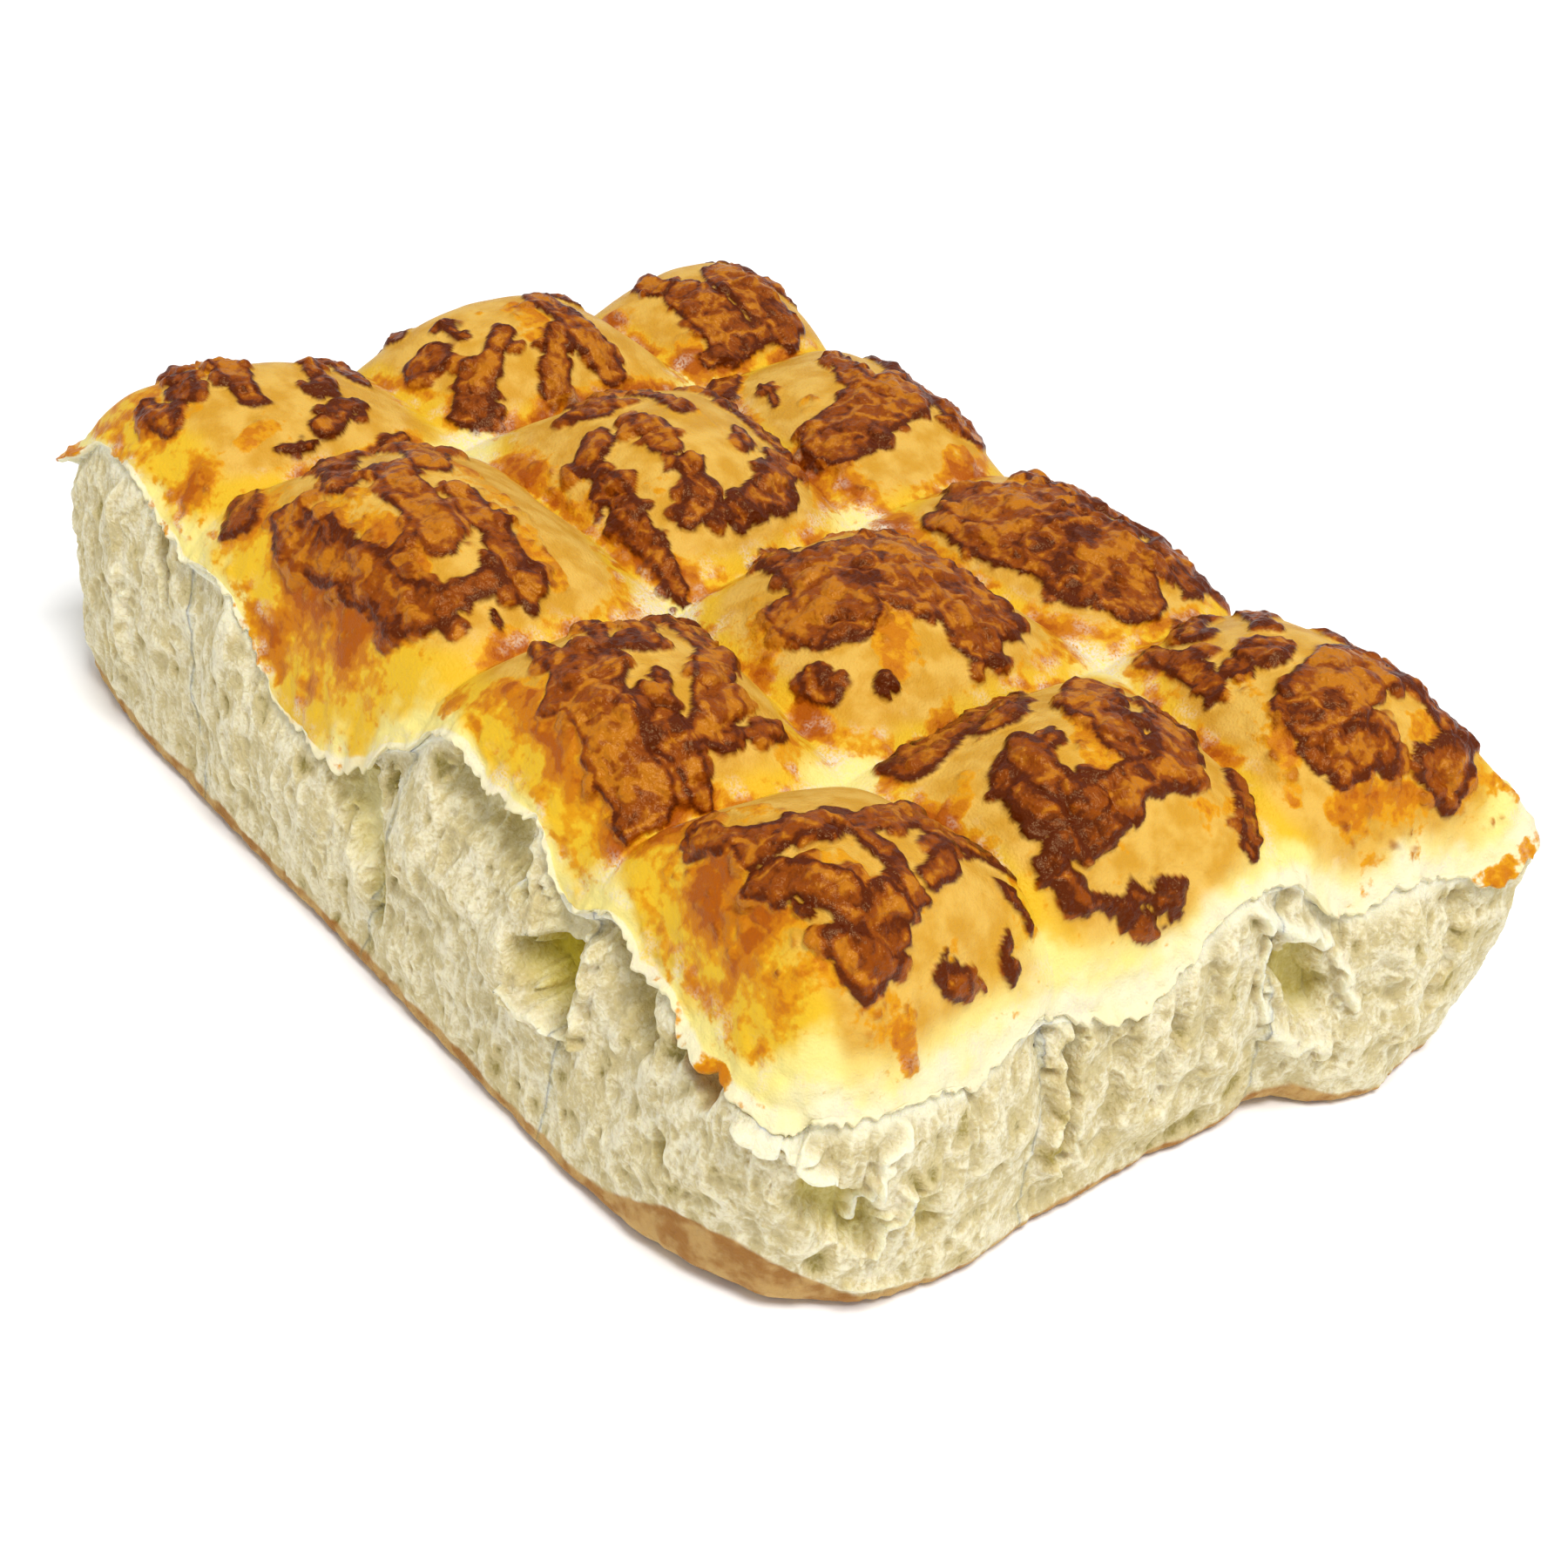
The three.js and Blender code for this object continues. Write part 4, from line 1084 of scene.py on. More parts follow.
    def charred(self, zones: Zones, relief: Relief, on_rim: Array) -> Array:
        """How dark the cheese is: dark outlines, paler webs and tops, and a tone for each blister.

        The outlines' dark is partly browning and partly painted shade; the tops' pale is partly painted
        highlight.

        Args:
            zones: The crust's zones.
            relief: The cheese.
            on_rim: Nearness to the rim.

        Returns:
            0 for light to 1 for dark.
        """
        crust = self.crust
        web = ramp(crust.web.ridges(relief.bent, crust.web_width), 0.0, crust.web_width)
        # The outline's dark is partly browning and partly painted shade.
        outline = np.exp(-((relief.gap + crust.outline_at) ** 2) / crust.outline_spread)
        char = crust.char_plain + crust.char_tone * relief.tone
        # Higher cheese paler and lower darker: partly browning, partly painted highlight and shade.
        char -= crust.rise_light_and_char_share * crust.rise_light_and_char.of(relief.rise)
        dark = crust.char_patch * zones.patch + crust.outline_char_and_shade * outline
        char += dark - crust.char_web * web * (1 - outline)
        crisp = crust.char_thin + crust.char_crisp * relief.crisp_tone
        char = mix(char, crisp, crust.char_thin_from.of(relief.thin - relief.pad))
        char -= crust.char_rim_share * crust.char_rim.of(on_rim)
        return np.clip(char, 0, 1)

    def floured(self, places: TopPlaces, zones: Zones, gap: Array) -> Array:
        """How much flour shows: most at the crossings, and flecks in the creases.

        Args:
            places: The places on the top.
            zones: The crust's zones.
            gap: Distance to the nearest strand's edge.

        Returns:
            0 for none to 1.
        """
        crust = self.crust
        flour = crust.flour_from.of(crust.flour.at(places.points) - crust.flour_crown * places.crown)
        flour = flour * (1 - zones.near_rim) * crust.flour_gap.of(gap)
        fleck = crust.fleck_from.of(crust.fleck.at(places.points)) * (1 - crust.fleck_crown.of(places.crown))
        flecks = crust.fleck_share * fleck * (1 - zones.shoulder) * crust.fleck_gap.of(gap)
        return np.maximum(flour * crust.flour_crossing.of(zones.crossing), flecks)

    def build(self) -> tuple[Sheet, Array, Array]:
        """Compute the top: the form, moved along its normals by crust ripples and cheese.

        Returns:
            The sheet, and the places of its columns and of its rows in rolls.
        """
        s, t = self.knots(self.form.long_rolls), self.knots(self.form.short_rolls)
        grid_s, grid_t = np.meshgrid(s, t)
        places = self.form.top(grid_s, grid_t)
        plain, on_rim, crust = places.points, places.on_rim, self.crust
        relief = self.relief(plain, grid_s, grid_t)
        zones = self.zones(places)
        ripple = sum(noise.at(plain) for noise in crust.ripple)
        ripple += zones.near_rim * sum(noise.at(plain) for noise in crust.rim_ripple)
        lift = ripple + (relief.rise + relief.fine) * (1 - crust.cheese_ends.of(on_rim))
        points = plain + self.normals(plain) * lift[..., None]
        cheese = crust.cheese_mask.of(relief.rise - crust.cheese_mask_thin * relief.thin)
        masks = {
            "cheese": cheese * (1 - crust.cheese_mask_ends.of(on_rim)),
            "char": self.charred(zones, relief, on_rim),
            "gold": zones.gold,
            "melt": self.melted(zones),
            "toast": self.toasted(zones, relief),
            "flour": self.floured(places, zones, relief.gap),
            "skin": crust.pale_skin.of(zones.pale_edge + crust.skin_waver * zones.blotch),
        }
        return Sheet.bare(points, **masks), s, t


@dataclass(frozen=True)
class Flap:
    """A place on the rim where the crust hangs over: where on the walk round, how far, how steep."""

    place: float
    reach: float
    width: float
    droop: float
    toast: float = 0.0


@dataclass
class TornSides:
    """Crust lip, torn crumb and lower edge: the ring of points round the slab, from the rim down."""

    form: SlabForm
    flaps: tuple[Flap, ...] = (
        Flap(0.05, 0.12, 3.5, 0, 0.7), Flap(0.8, 0.08, 2.0, 50, 0.6), Flap(1.5, 0.2, 1.2, 60),
        Flap(1.82, 0.1, 4.5, 75), Flap(2.35, 0.2, 2.0, 35), Flap(2.62, 0.08, 2.4, 25),
        Flap(3.25, 0.12, 2.2, 30),
        Flap(3.62, 0.2, 3.4, 45, 0.6), Flap(3.9, 0.09, 3.0, 40), Flap(4.67, 0.035, 2.8, 55, 0.55),
        Flap(5.3, 0.2, 2.4, 40), Flap(6.2, 0.1, 1.6, 40), Flap(6.9, 0.12, 4.5, 60, 0.5),
        Flap(8.5, 0.15, 2.0, 20),
        Flap(9.6, 0.2, 2.0, 30), Flap(11.4, 0.12, 2.5, 30), Flap(12.7, 0.2, 2.0, 20),
    )
    lip_width: float = 0.55
    lip_droop: float = 38.0
    lip_thickness: float = 1.2
    lip_least: float = 0.12
    lip_waver: Noise = Noise(4.6, 71.0, height=0.9)
    lip_teeth: Noise = Noise(2.6, 72.0, height=1.6)
    lip_teeth_middle: float = 0.35
    lip_nicks: Noise = Noise(1.3, 78.0, height=0.9)
    lip_nicks_middle: float = 0.3
    lip_sway: Noise = Noise(8.0, 73.0, height=18.0)
    lip_swell: Noise = Noise(3.0, 75.0, height=0.5)
    lip_bend: Noise = Noise(2.6, 77.0, height=0.6)
    lip_profile: tuple[tuple[float, float], ...] = (
        (0.3, 0.0), (0.6, 0.0), (0.9, 0.0), (1.0, 0.25), (1.0, 0.7), (0.75, 1.0), (0.3, 1.05),
    )
    mask_fade: tuple[float, float] = (1.4, 0.3)
    toast_fade: tuple[float, float] = (1.6, 0.25)
    root_drop: float = 0.8
    root_plain: float = -0.1
    root_most: float = 1.4
    root_waver: Noise = Noise(7.0, 76.0, height=0.8)
    flap_share: float = 0.5
    flap_waver: Noise = Noise(2.2, 74.0, height=0.25)
    flap_toast: Noise = Noise(3.2, 79.0, height=1.2)
    flap_toast_plain: float = 0.7
    flap_toast_most: float = 1.3
    undercut: float = 1.5
    recover_reach: float = 0.06
    wedge_at: tuple[float, float] = (99.0, -82.0)
    wedge_reach: float = 17.0
    wedge_rise: float = 6.5
    face_rows: int = 122
    edge_rows: int = 12
    lip_crust_rows: int = 5
    bake_height: float = 4.5
    bake_fall: float = 1.8
    bake_fall_from: Band = Band(100.0, 118.0)
    bake_per_radius: float = 0.9
    bake_ragged: Noise = Noise(8.0, 81.0, layers=3)
    bake_raggedness: float = 1.3
    wedge_raggedness: float = 0.8
    bake_edge: Band = Band(-0.4, 0.4)
    bake_smooth: Band = Band(-1.5, 3.0)
    edge_ragged: Noise = Noise(4.0, 82.0, layers=3, height=0.35)
    edge_pit: float = 0.4
    crumb_lumps: tuple[Noise, ...] = (Noise(13.0, 0.0, height=1.2), Noise(6.0, 0.0, height=0.8))
    crumb_warp: Noise = Noise(4.0, 31.0, height=1.3)
    shreds: tuple[Noise, ...] = (
        Noise((4.6, 4.6, 6.2), 34.0, height=0.45),
        Noise((2.2, 2.2, 3.0), 35.0, height=0.3),
    )
    shred_slope: float = 2.2
    pores: tuple[Noise, ...] = (
        Noise((6.0, 6.0, 8.0), 37.0, height=0.9),
        Noise((2.6, 2.6, 3.4), 38.0, height=0.5),
        Noise((1.4, 1.4, 1.8), 39.0, height=0.3),
    )
    pore_wall: Band = Band(0.05, 0.5)
    pore_plain: float = 0.25
    pore_tone: float = 0.9
    pore_depth: float = 0.9
    shred_level: float = 0.2
    shred_range: float = 2.5
    # Painted shade of the crumb's low places: a plain share, raised the lower a place lies.
    pit_plain: float = 0.3
    calm_skin: float = 0.8
    calm_deep: float = 0.9
    skin_share: float = 0.8
    skin_reach: float = 2.0
    relief_reach: float = 1.0
    baked_relief: float = 0.25
    fibres: Noise = Noise((2.4, 2.4, 12.0), 33.0, height=0.25)
    fibres_west: Band = Band(-20.0, 30.0)

    def walk(self, s: Array, t: Array) -> tuple[Array, Array, Array, Array, Array, Array]:
        """Walk round the slab's edge, anticlockwise from above, from the southwest corner.

        Args:
            s: Places of the top's columns, in rolls.
            t: Places of the top's rows, in rolls.

        Returns:
            For each step: s, t, the side's number, the top's column and row, and the rolls walked.
        """
        columns, rows = len(s) - 1, len(t) - 1
        runs = (
            (np.arange(columns), np.zeros(columns, int), Side.SOUTH),
            (np.full(rows, columns), np.arange(rows), Side.EAST),
            (np.arange(columns, 0, -1), np.full(columns, rows), Side.NORTH),
            (np.zeros(rows, int), np.arange(rows, 0, -1), Side.WEST),
        )
        m = np.concatenate([run[0] for run in runs])
        n = np.concatenate([run[1] for run in runs])
        side = np.concatenate([np.full(len(run[0]), run[2].value) for run in runs])
        long, short = s[-1], t[-1]
        walked = np.choose(side, [s[m], long + t[n], 2 * long + short - s[m], 2 * (long + short) - t[n]])
        return s[m], t[n], side, m, n, walked

    @staticmethod
    def outward(ring: Array, spread: int = 5) -> Array:
        """Unit normals of a closed ring in the plan, from points `spread` steps to each side."""
        run = np.roll(ring, -spread, axis=0) - np.roll(ring, spread, axis=0)
        normal = np.stack([run[:, 1], -run[:, 0]], axis=-1)
        return normal / np.linalg.norm(normal, axis=-1, keepdims=True)

    def lip(self, rim: Array, rim_masks: dict[str, Array], walked: Array) -> Sheet:
        """The crust's torn lip: out along its droop, round the tip, and back under to the crumb.

        In the plane across the rim the rows run along the droop by the width, round the tip by the
        thickness, and back to a root that is let in by the undercut.

        Args:
            rim: The rim, (K, 3).
            rim_masks: The top's masks at the rim.
            walked: Rolls walked at each step.

        Returns:
            The lip's rows; the last one is the root.
        """
        normal = self.outward(rim[:, :2])
        width = self.lip_width + self.lip_waver.at(rim)
        teeth = self.lip_teeth.ridges(rim, self.lip_teeth_middle)
        width += teeth + self.lip_nicks.ridges(rim, self.lip_nicks_middle)
        droop = self.lip_droop + self.lip_sway.at(rim)
        toast, hang = np.zeros(len(rim)), np.zeros(len(rim))
        total = 2 * (self.form.long_rolls + self.form.short_rolls)
        for flap in self.flaps:
            away = np.abs((walked - flap.place + total / 2) % total - total / 2) / flap.reach
            bell = np.exp(-(away**4))
            width += (flap.width - self.flap_share) * bell * (1 + self.flap_waver.at(rim))
            droop += (flap.droop - self.lip_droop) * bell
            browned = np.clip(self.flap_toast_plain + self.flap_toast.at(rim), 0.0, self.flap_toast_most)
            toast += flap.toast * bell * browned
            hang += bell
        width = np.maximum(width, self.lip_least)
        thick = self.lip_thickness * (1 + self.lip_swell.at(rim))
        let_in = self.root_plain + hang + self.root_waver.at(rim)
        root_in = self.undercut * np.clip(let_in, 0.0, self.root_most)
        lean = np.radians(droop)
        along = np.stack([np.cos(lean), -np.sin(lean)], axis=-1)
        across = np.stack([-np.sin(lean), -np.cos(lean)], axis=-1)
        places = [along * (width * out)[:, None] + across * (thick * under)[:, None]
                  for out, under in self.lip_profile]
        places.append(np.stack([-root_in, -thick - self.root_drop], axis=-1))
        places = np.array(places)
        bend = self.lip_bend.at(np.repeat(rim[None], len(places), axis=0) + places[..., :1])
        bend[-1] = 0
        points = np.repeat(rim[None], len(places), axis=0)
        points[..., :2] += normal[None] * places[..., :1]
        points[..., 2] += places[..., 1] + bend
        count = len(places)
        fade = np.clip(self.mask_fade[0] - self.mask_fade[1] * np.arange(count), 0, 1)[:, None]
        masks = {name: np.repeat(values[None], count, axis=0) * fade for name, values in rim_masks.items()}
        masks["skin"] = np.ones((count, len(rim)))
        browned = np.clip(self.toast_fade[0] - self.toast_fade[1] * np.arange(count), 0, 1)[:, None]
        masks["toast"] = np.clip(masks["toast"] + toast[None] * browned, 0, 1)
        return Sheet.bare(points, **masks)

    def crumb(self, points: Array, calm: Array) -> tuple[Array, Array]:
        """Relief of torn crumb: lumps, ridged shreds, and round pores of three sizes on warped places.

        A shred is 1 - slope |noise|, so that thin ridges stand between rounded pits. A pore is deepest
        at its cell's seed and ends half a pitch away.

        Args:
            points: Places on the faces, (..., 3).
            calm: Share of the relief that is smoothed away.

        Returns:
            How far the crumb stands out, and how low each place lies, 0 to 1, which paints its shade.
        """
        lumps = sum(noise.at(points) for noise in self.crumb_lumps)
        warped = points + self.crumb_warp.push(points)
        shreds = np.zeros(calm.shape)
        for shred in self.shreds:
            ridge = np.abs(Grain.lumps(warped, shred.size, shred.salt))
            shreds += shred.height * (1 - self.shred_slope * ridge)
        pores = np.zeros(calm.shape)
        for pore in self.pores:
            away, tone = Grain.cells(warped, pore.size, pore.salt)
            open_share = np.clip(self.pore_plain + self.pore_tone * tone, 0, 1)
            pores += pore.height * (1 - self.pore_wall.of(away)) * open_share
        shreds += self.fibres.at(warped) * self.fibres_west.of(-points[..., 0])
        rough = 1 - calm
        # Painted shade: the lower a place lies among shreds and pores, the darker its colour.
        depth = (self.shred_level - shreds) / self.shred_range + self.pore_depth * pores
        return lumps + (shreds - pores) * rough, np.clip(self.pit_plain + depth * rough, 0, 1)

    def build(self, top: Sheet, s: Array, t: Array) -> tuple[Sheet, Array]:
        """Compute every ring below the rim.

        A face runs straight from the lip's root to the base outline and is moved out by its belly and
        crumb, and in by slots and hollows. The edge below it is a quarter circle.

        Args:
            top: The baked top.
            s: Places of the top's columns, in rolls.
            t: Places of the top's rows, in rolls.

        Returns:
            The rings from below the rim to the base, and the top's (row, column) for each ring step.
        """
        ring_s, ring_t, side, m, n, walked = self.walk(s, t)
        rim = top.points[n, m]
        lip = self.lip(rim, {name: values[n, m] for name, values in top.masks.items()}, walked)
        root = lip.points[-1]
        outline = self.form.base_outline(ring_s, ring_t, side)
        foot = self.form.foot_radius(outline)
        runs_x = (side == Side.SOUTH.value) | (side == Side.NORTH.value)
        row = np.where(runs_x, ring_s, ring_t)
        count = np.where(runs_x, self.form.long_rolls, self.form.short_rolls)
        span_x = self.form.base_side[Side.EAST] - self.form.base_side[Side.WEST]
        span_y = self.form.base_side[Side.NORTH] - self.form.base_side[Side.SOUTH]
        length = np.where(runs_x, span_x / self.form.long_rolls, span_y / self.form.short_rolls)

        downs = np.arange(1, self.face_rows + 1) / self.face_rows
        plain, normals = [], []
        for down in downs:
            height = mix(root[:, 2], foot, down)[:, None]
            ring = np.concatenate([mix(root[:, :2], outline, down), height], axis=1)
            recover = self.undercut * (1 - down) * (1 - math.exp(-float(down) / self.recover_reach))
            normal = self.outward(ring[:, :2])
            ring[:, :2] += normal * recover
            plain.append(ring)
            normals.append(normal)
        plain, normals = np.array(plain), np.array(normals)
        torn = self.form.torn(plain, row, count, length, walked)
        drop = root[None, :, 2] - plain[..., 2]
        skin = np.maximum(torn["skin"], self.skin_share * np.exp(-drop / self.skin_reach))
        calm = 1 - (1 - self.calm_skin * torn["skin"]) * (1 - self.calm_deep * torn["deep"])
        relief, pits = self.crumb(plain, calm)
        belly = self.form.face_belly * np.sin(np.pi * downs)[:, None]
        smooth = self.bake_smooth.of(plain[..., 2] - self.bake_line(plain, foot))
        relief = mix(self.baked_relief * np.clip(relief, -1, 1), relief, smooth)
        out = belly + (relief + torn["out"] * smooth) * (1 - np.exp(-drop / self.relief_reach))
        points = plain.copy()
        points[..., :2] += normals * out[..., None]
        bake = np.maximum(self.baked(points, foot), torn["bake"])
        faces = Sheet.bare(points, pit=pits, deep=torn["deep"], skin=skin, bake=bake)
        edge = self.edge(points[-1], foot)
        rings = [lip, faces, edge]
        joined = Sheet(
            np.concatenate([sheet.points for sheet in rings]),
            {name: np.concatenate([sheet.masks[name] for sheet in rings]) for name in MASKS},
        )
        return joined, np.stack([n, m], axis=-1)

    def bake_line(self, points: Array, foot: Array) -> Array:
        """Height to which the base crust reaches: a ragged line, higher where the edge is larger."""
        east, north = points[..., 0] - self.wedge_at[0], points[..., 1] - self.wedge_at[1]
        away = np.hypot(east, north) / self.wedge_reach
        line = self.bake_height - self.bake_fall * self.bake_fall_from.of(points[..., 0])
        line = line + self.bake_per_radius * (foot - self.form.edge_radius)
        line += self.wedge_rise * np.exp(-(away**3))
        ragged = self.bake_raggedness + self.wedge_raggedness * np.exp(-(away**3))
        return line + ragged * self.bake_ragged.at(points)

    def baked(self, points: Array, foot: Array) -> Array:
        """How much base crust shows: all of it below the line."""
        return self.bake_edge.of(self.bake_line(points, foot) - points[..., 2])

    def edge(self, foot: Array, radius: Array) -> Sheet:
        """The rolled lower edge: from the foot ring it turns in and down by a quarter circle.

        Args:
            foot: The lowest ring of the faces, (K, 3).
            radius: The radius of the edge at each step, which is also the foot's height.

        Returns:
            The rings of the edge, without the foot ring.
        """
        base, inset = self.form.base_side, self.form.core_inset
        low = np.array([base[Side.WEST], base[Side.SOUTH]]) + inset
        high = np.array([base[Side.EAST], base[Side.NORTH]]) - inset
        inward = np.clip(foot[:, :2], low, high) - foot[:, :2]
        inward /= np.linalg.norm(inward, axis=-1, keepdims=True)
        turn = (np.pi / 2) * np.arange(1, self.edge_rows + 1)[:, None] / self.edge_rows
        points = np.empty((self.edge_rows, len(foot), 3))
        points[..., :2] = foot[None, :, :2] + inward[None] * (radius[None] * (1 - np.cos(turn)))[..., None]
        points[..., 2] = radius[None] * (1 - np.sin(turn))
        points[:-1, :, :2] -= inward[None] * self.edge_ragged.at(points[:-1])[..., None]
        # An even painted shade on the rolled lower edge, which faces down.
        pit = np.full(points.shape[:-1], self.edge_pit)
        return Sheet.bare(points, bake=self.baked(points, radius), pit=pit)


# ---- Finishes -------------------------------------------------------------------------------


class NoiseKind(Enum):
    """Kinds of noise texture: soft clouds, or thin ridges."""

    CLOUD = "FBM"
    RIDGE = "RIDGED_MULTIFRACTAL"


class Nodes:
    """Builds one material's node tree in short calls."""

    def __init__(self, name: str) -> None:
        """Start an empty material.

        Args:
            name: The material's name.
        """
        self.material = bpy.data.materials.new(name)
        self.material.use_nodes = True
        self.tree = self.material.node_tree
        self.tree.nodes.clear()
        self.place = self.tree.nodes.new("ShaderNodeTexCoord").outputs["Object"]

    def link(self, source: object, target: object) -> None:
        """Join an output socket, or set a plain value, to an input socket."""
        if isinstance(source, bpy.types.NodeSocket):
            self.tree.links.new(source, target)
        else:
            target.default_value = source

    def mask(self, name: str) -> object:
        """Read one of the mesh's masks."""
        node = self.tree.nodes.new("ShaderNodeAttribute")
        node.attribute_name = name
        return node.outputs["Fac"]

    def noise(self, size_mm: float, detail: float = 3.0, stretch: Color = (1.0, 1.0, 1.0),
              kind: NoiseKind = NoiseKind.CLOUD) -> object:
        """Noise on object coordinates with features of about `size_mm`."""
        node = self.tree.nodes.new("ShaderNodeTexNoise")
        node.noise_type = kind.value
        node.inputs["Scale"].default_value = 1.0 / (size_mm * MM)
        node.inputs["Detail"].default_value = detail
        self.tree.links.new(self.stretched(stretch), node.inputs["Vector"])
        return node.outputs["Fac"]

    def stretched(self, stretch: Color) -> object:
        """The place to read a texture at, scaled axis by axis."""
        mapping = self.tree.nodes.new("ShaderNodeMapping")
        mapping.inputs["Scale"].default_value = stretch
        self.tree.links.new(self.place, mapping.inputs["Vector"])
        return mapping.outputs["Vector"]

    def cells(self, size_mm: float, stretch: Color = (1.0, 1.0, 1.0)) -> object:
        """Distance to the nearest of scattered seeds, in pitches of about `size_mm`."""
        node = self.tree.nodes.new("ShaderNodeTexVoronoi")
        node.inputs["Scale"].default_value = 1.0 / (size_mm * MM)
        self.tree.links.new(self.stretched(stretch), node.inputs["Vector"])
        return node.outputs["Distance"]

    def warp(self, size_mm: float, amount_mm: float) -> None:
        """Shift all places read from now on by noise, by 0 to the amount along each axis."""
        noise = self.tree.nodes.new("ShaderNodeTexNoise")
        noise.inputs["Scale"].default_value = 1.0 / (size_mm * MM)
        self.tree.links.new(self.place, noise.inputs["Vector"])
        shift = self.tree.nodes.new("ShaderNodeVectorMath")
        shift.operation = "MULTIPLY_ADD"
        self.tree.links.new(noise.outputs["Color"], shift.inputs[0])
        shift.inputs[1].default_value = (amount_mm * MM,) * 3
        self.tree.links.new(self.place, shift.inputs[2])
        self.place = shift.outputs["Vector"]

    def math(self, operation: str, first: object, second: object = 0.0, third: object = 0.0) -> object:
        """A Math node's result."""
        node = self.tree.nodes.new("ShaderNodeMath")
        node.operation = operation
        for value, socket in zip((first, second, third), node.inputs):
            self.link(value, socket)
        return node.outputs[0]

    def jitter(self, value: object, noise: object, amount: float) -> object:
        """Add noise around its middle to a value."""
        return self.math("ADD", value, self.math("MULTIPLY_ADD", noise, amount, -amount / 2))

    def step(self, value: object, low: float, high: float, start: float = 0.0, end: float = 1.0) -> object:
        """Map a value smoothly from low..high to start..end."""
        node = self.tree.nodes.new("ShaderNodeMapRange")
        node.interpolation_type = "SMOOTHSTEP"
        self.link(value, node.inputs["Value"])
        for name, number in (("From Min", low), ("From Max", high), ("To Min", start), ("To Max", end)):
            node.inputs[name].default_value = number
        return node.outputs["Result"]

    def blend(self, part: object, first: object, second: object) -> object:
        """Mix two colours by a factor."""
        node = self.tree.nodes.new("ShaderNodeMix")
        node.data_type = "RGBA"
        self.link(part, node.inputs["Factor"])
        for color, socket in ((first, node.inputs[6]), (second, node.inputs[7])):
            self.link((*color, 1.0) if isinstance(color, tuple) else color, socket)
        return node.outputs[2]

    def bump(self, height: object, distance_mm: float, strength: float = 1.0) -> object:
        """A bump normal from a height of 0 to 1 times a distance."""
        node = self.tree.nodes.new("ShaderNodeBump")
        node.inputs["Strength"].default_value = strength
        node.inputs["Distance"].default_value = distance_mm * MM
        self.link(height, node.inputs["Height"])
        return node.outputs["Normal"]

    def surface(self, color: object, roughness: object, normal: object, **constants: object) -> None:
        """Finish with a Principled shader; `constants` are set on its own sockets.

        Args:
            color: The base colour.
            roughness: The roughness.
            normal: The bumped normal.
            constants: Socket names, with _ for spaces, and their values.
        """
        shader = self.tree.nodes.new("ShaderNodeBsdfPrincipled")
        output = self.tree.nodes.new("ShaderNodeOutputMaterial")
        self.link((*color, 1.0) if isinstance(color, tuple) else color, shader.inputs["Base Color"])
        self.link(roughness, shader.inputs["Roughness"])
        self.link(normal, shader.inputs["Normal"])
        for name, value in constants.items():
            shader.inputs[name.replace("_", " ")].default_value = value
        self.tree.links.new(shader.outputs[0], output.inputs["Surface"])


@dataclass(frozen=True)
class CrustFinish:
    """Baked crust with melted and browned cheese."""

    cream: Color = srgb(252, 234, 140)
    yellow: Color = srgb(240, 192, 42)
    gold: Color = srgb(216, 158, 46)
    gold_light: Color = srgb(234, 186, 84)
    amber: Color = srgb(228, 156, 16)
    toast: Color = srgb(208, 124, 10)
    toast_dark: Color = srgb(180, 90, 4)
    cheese_light: Color = srgb(196, 118, 18)
    cheese_mid: Color = srgb(148, 68, 3)
    cheese_dark: Color = srgb(92, 30, 0)
    flour: Color = srgb(242, 226, 202)
    skin: Color = srgb(250, 242, 202)
    toast_steps: tuple[tuple[float, float], ...] = ((0.2, 0.45), (0.45, 0.7), (0.8, 1.15))

    def material(self) -> bpy.types.Material:
        """Make the material from the masks of the baked top.

        Returns:
            The crust material.
        """
        n = Nodes("baked_crust")
        fine, speckle, broad = n.noise(1.6, 4.0), n.noise(0.5, 2.0), n.noise(6.0, 4.0)
        folds = n.noise(1.3, 3.0, kind=NoiseKind.RIDGE)
        color = n.blend(n.step(n.jitter(n.mask("melt"), fine, 0.4), 0.1, 0.9), self.cream, self.yellow)
        gold = n.blend(n.step(broad, 0.35, 0.65), self.gold, self.gold_light)
        color = n.blend(n.step(n.jitter(n.mask("gold"), broad, 0.3), 0.0, 1.0), color, gold)
        toast = n.jitter(n.jitter(n.mask("toast"), fine, 1.1), broad, 0.4)
        color = n.blend(n.step(n.jitter(n.mask("skin"), broad, 1.2), 0.2, 1.2), color, self.skin)
        for (low, high), tint in zip(self.toast_steps, (self.amber, self.toast, self.toast_dark)):
            color = n.blend(n.step(toast, low, high), color, tint)
        char = n.jitter(n.jitter(n.mask("char"), fine, 1.1), broad, 0.7)
        cheese = n.blend(n.step(char, 0.0, 0.42), self.cheese_light, self.cheese_mid)
        cheese = n.blend(n.step(char, 0.42, 0.85), cheese, self.cheese_dark)
        color = n.blend(n.mask("cheese"), color, cheese)
        color = n.blend(n.math("MULTIPLY", n.mask("flour"), n.step(speckle, 0.3, 0.65)), color, self.flour)
        rough = n.step(n.jitter(n.mask("cheese"), speckle, 0.5), 0.0, 1.0, 0.46, 0.3)
        wrinkles = n.math("MULTIPLY", n.math("MULTIPLY", folds, n.mask("cheese")), 1.6)
        height = n.math("ADD", n.math("MULTIPLY", n.math("ADD", fine, speckle), 0.7), wrinkles)
        normal = n.bump(height, 0.3, 0.9)
        n.surface(color, rough, normal, Subsurface_Weight=0.08, Subsurface_Radius=(1.0, 0.5, 0.2),
                  Subsurface_Scale=0.0015, Specular_IOR_Level=0.25, Specular_Tint=(1.0, 0.7, 0.35, 1.0))
        return n.material


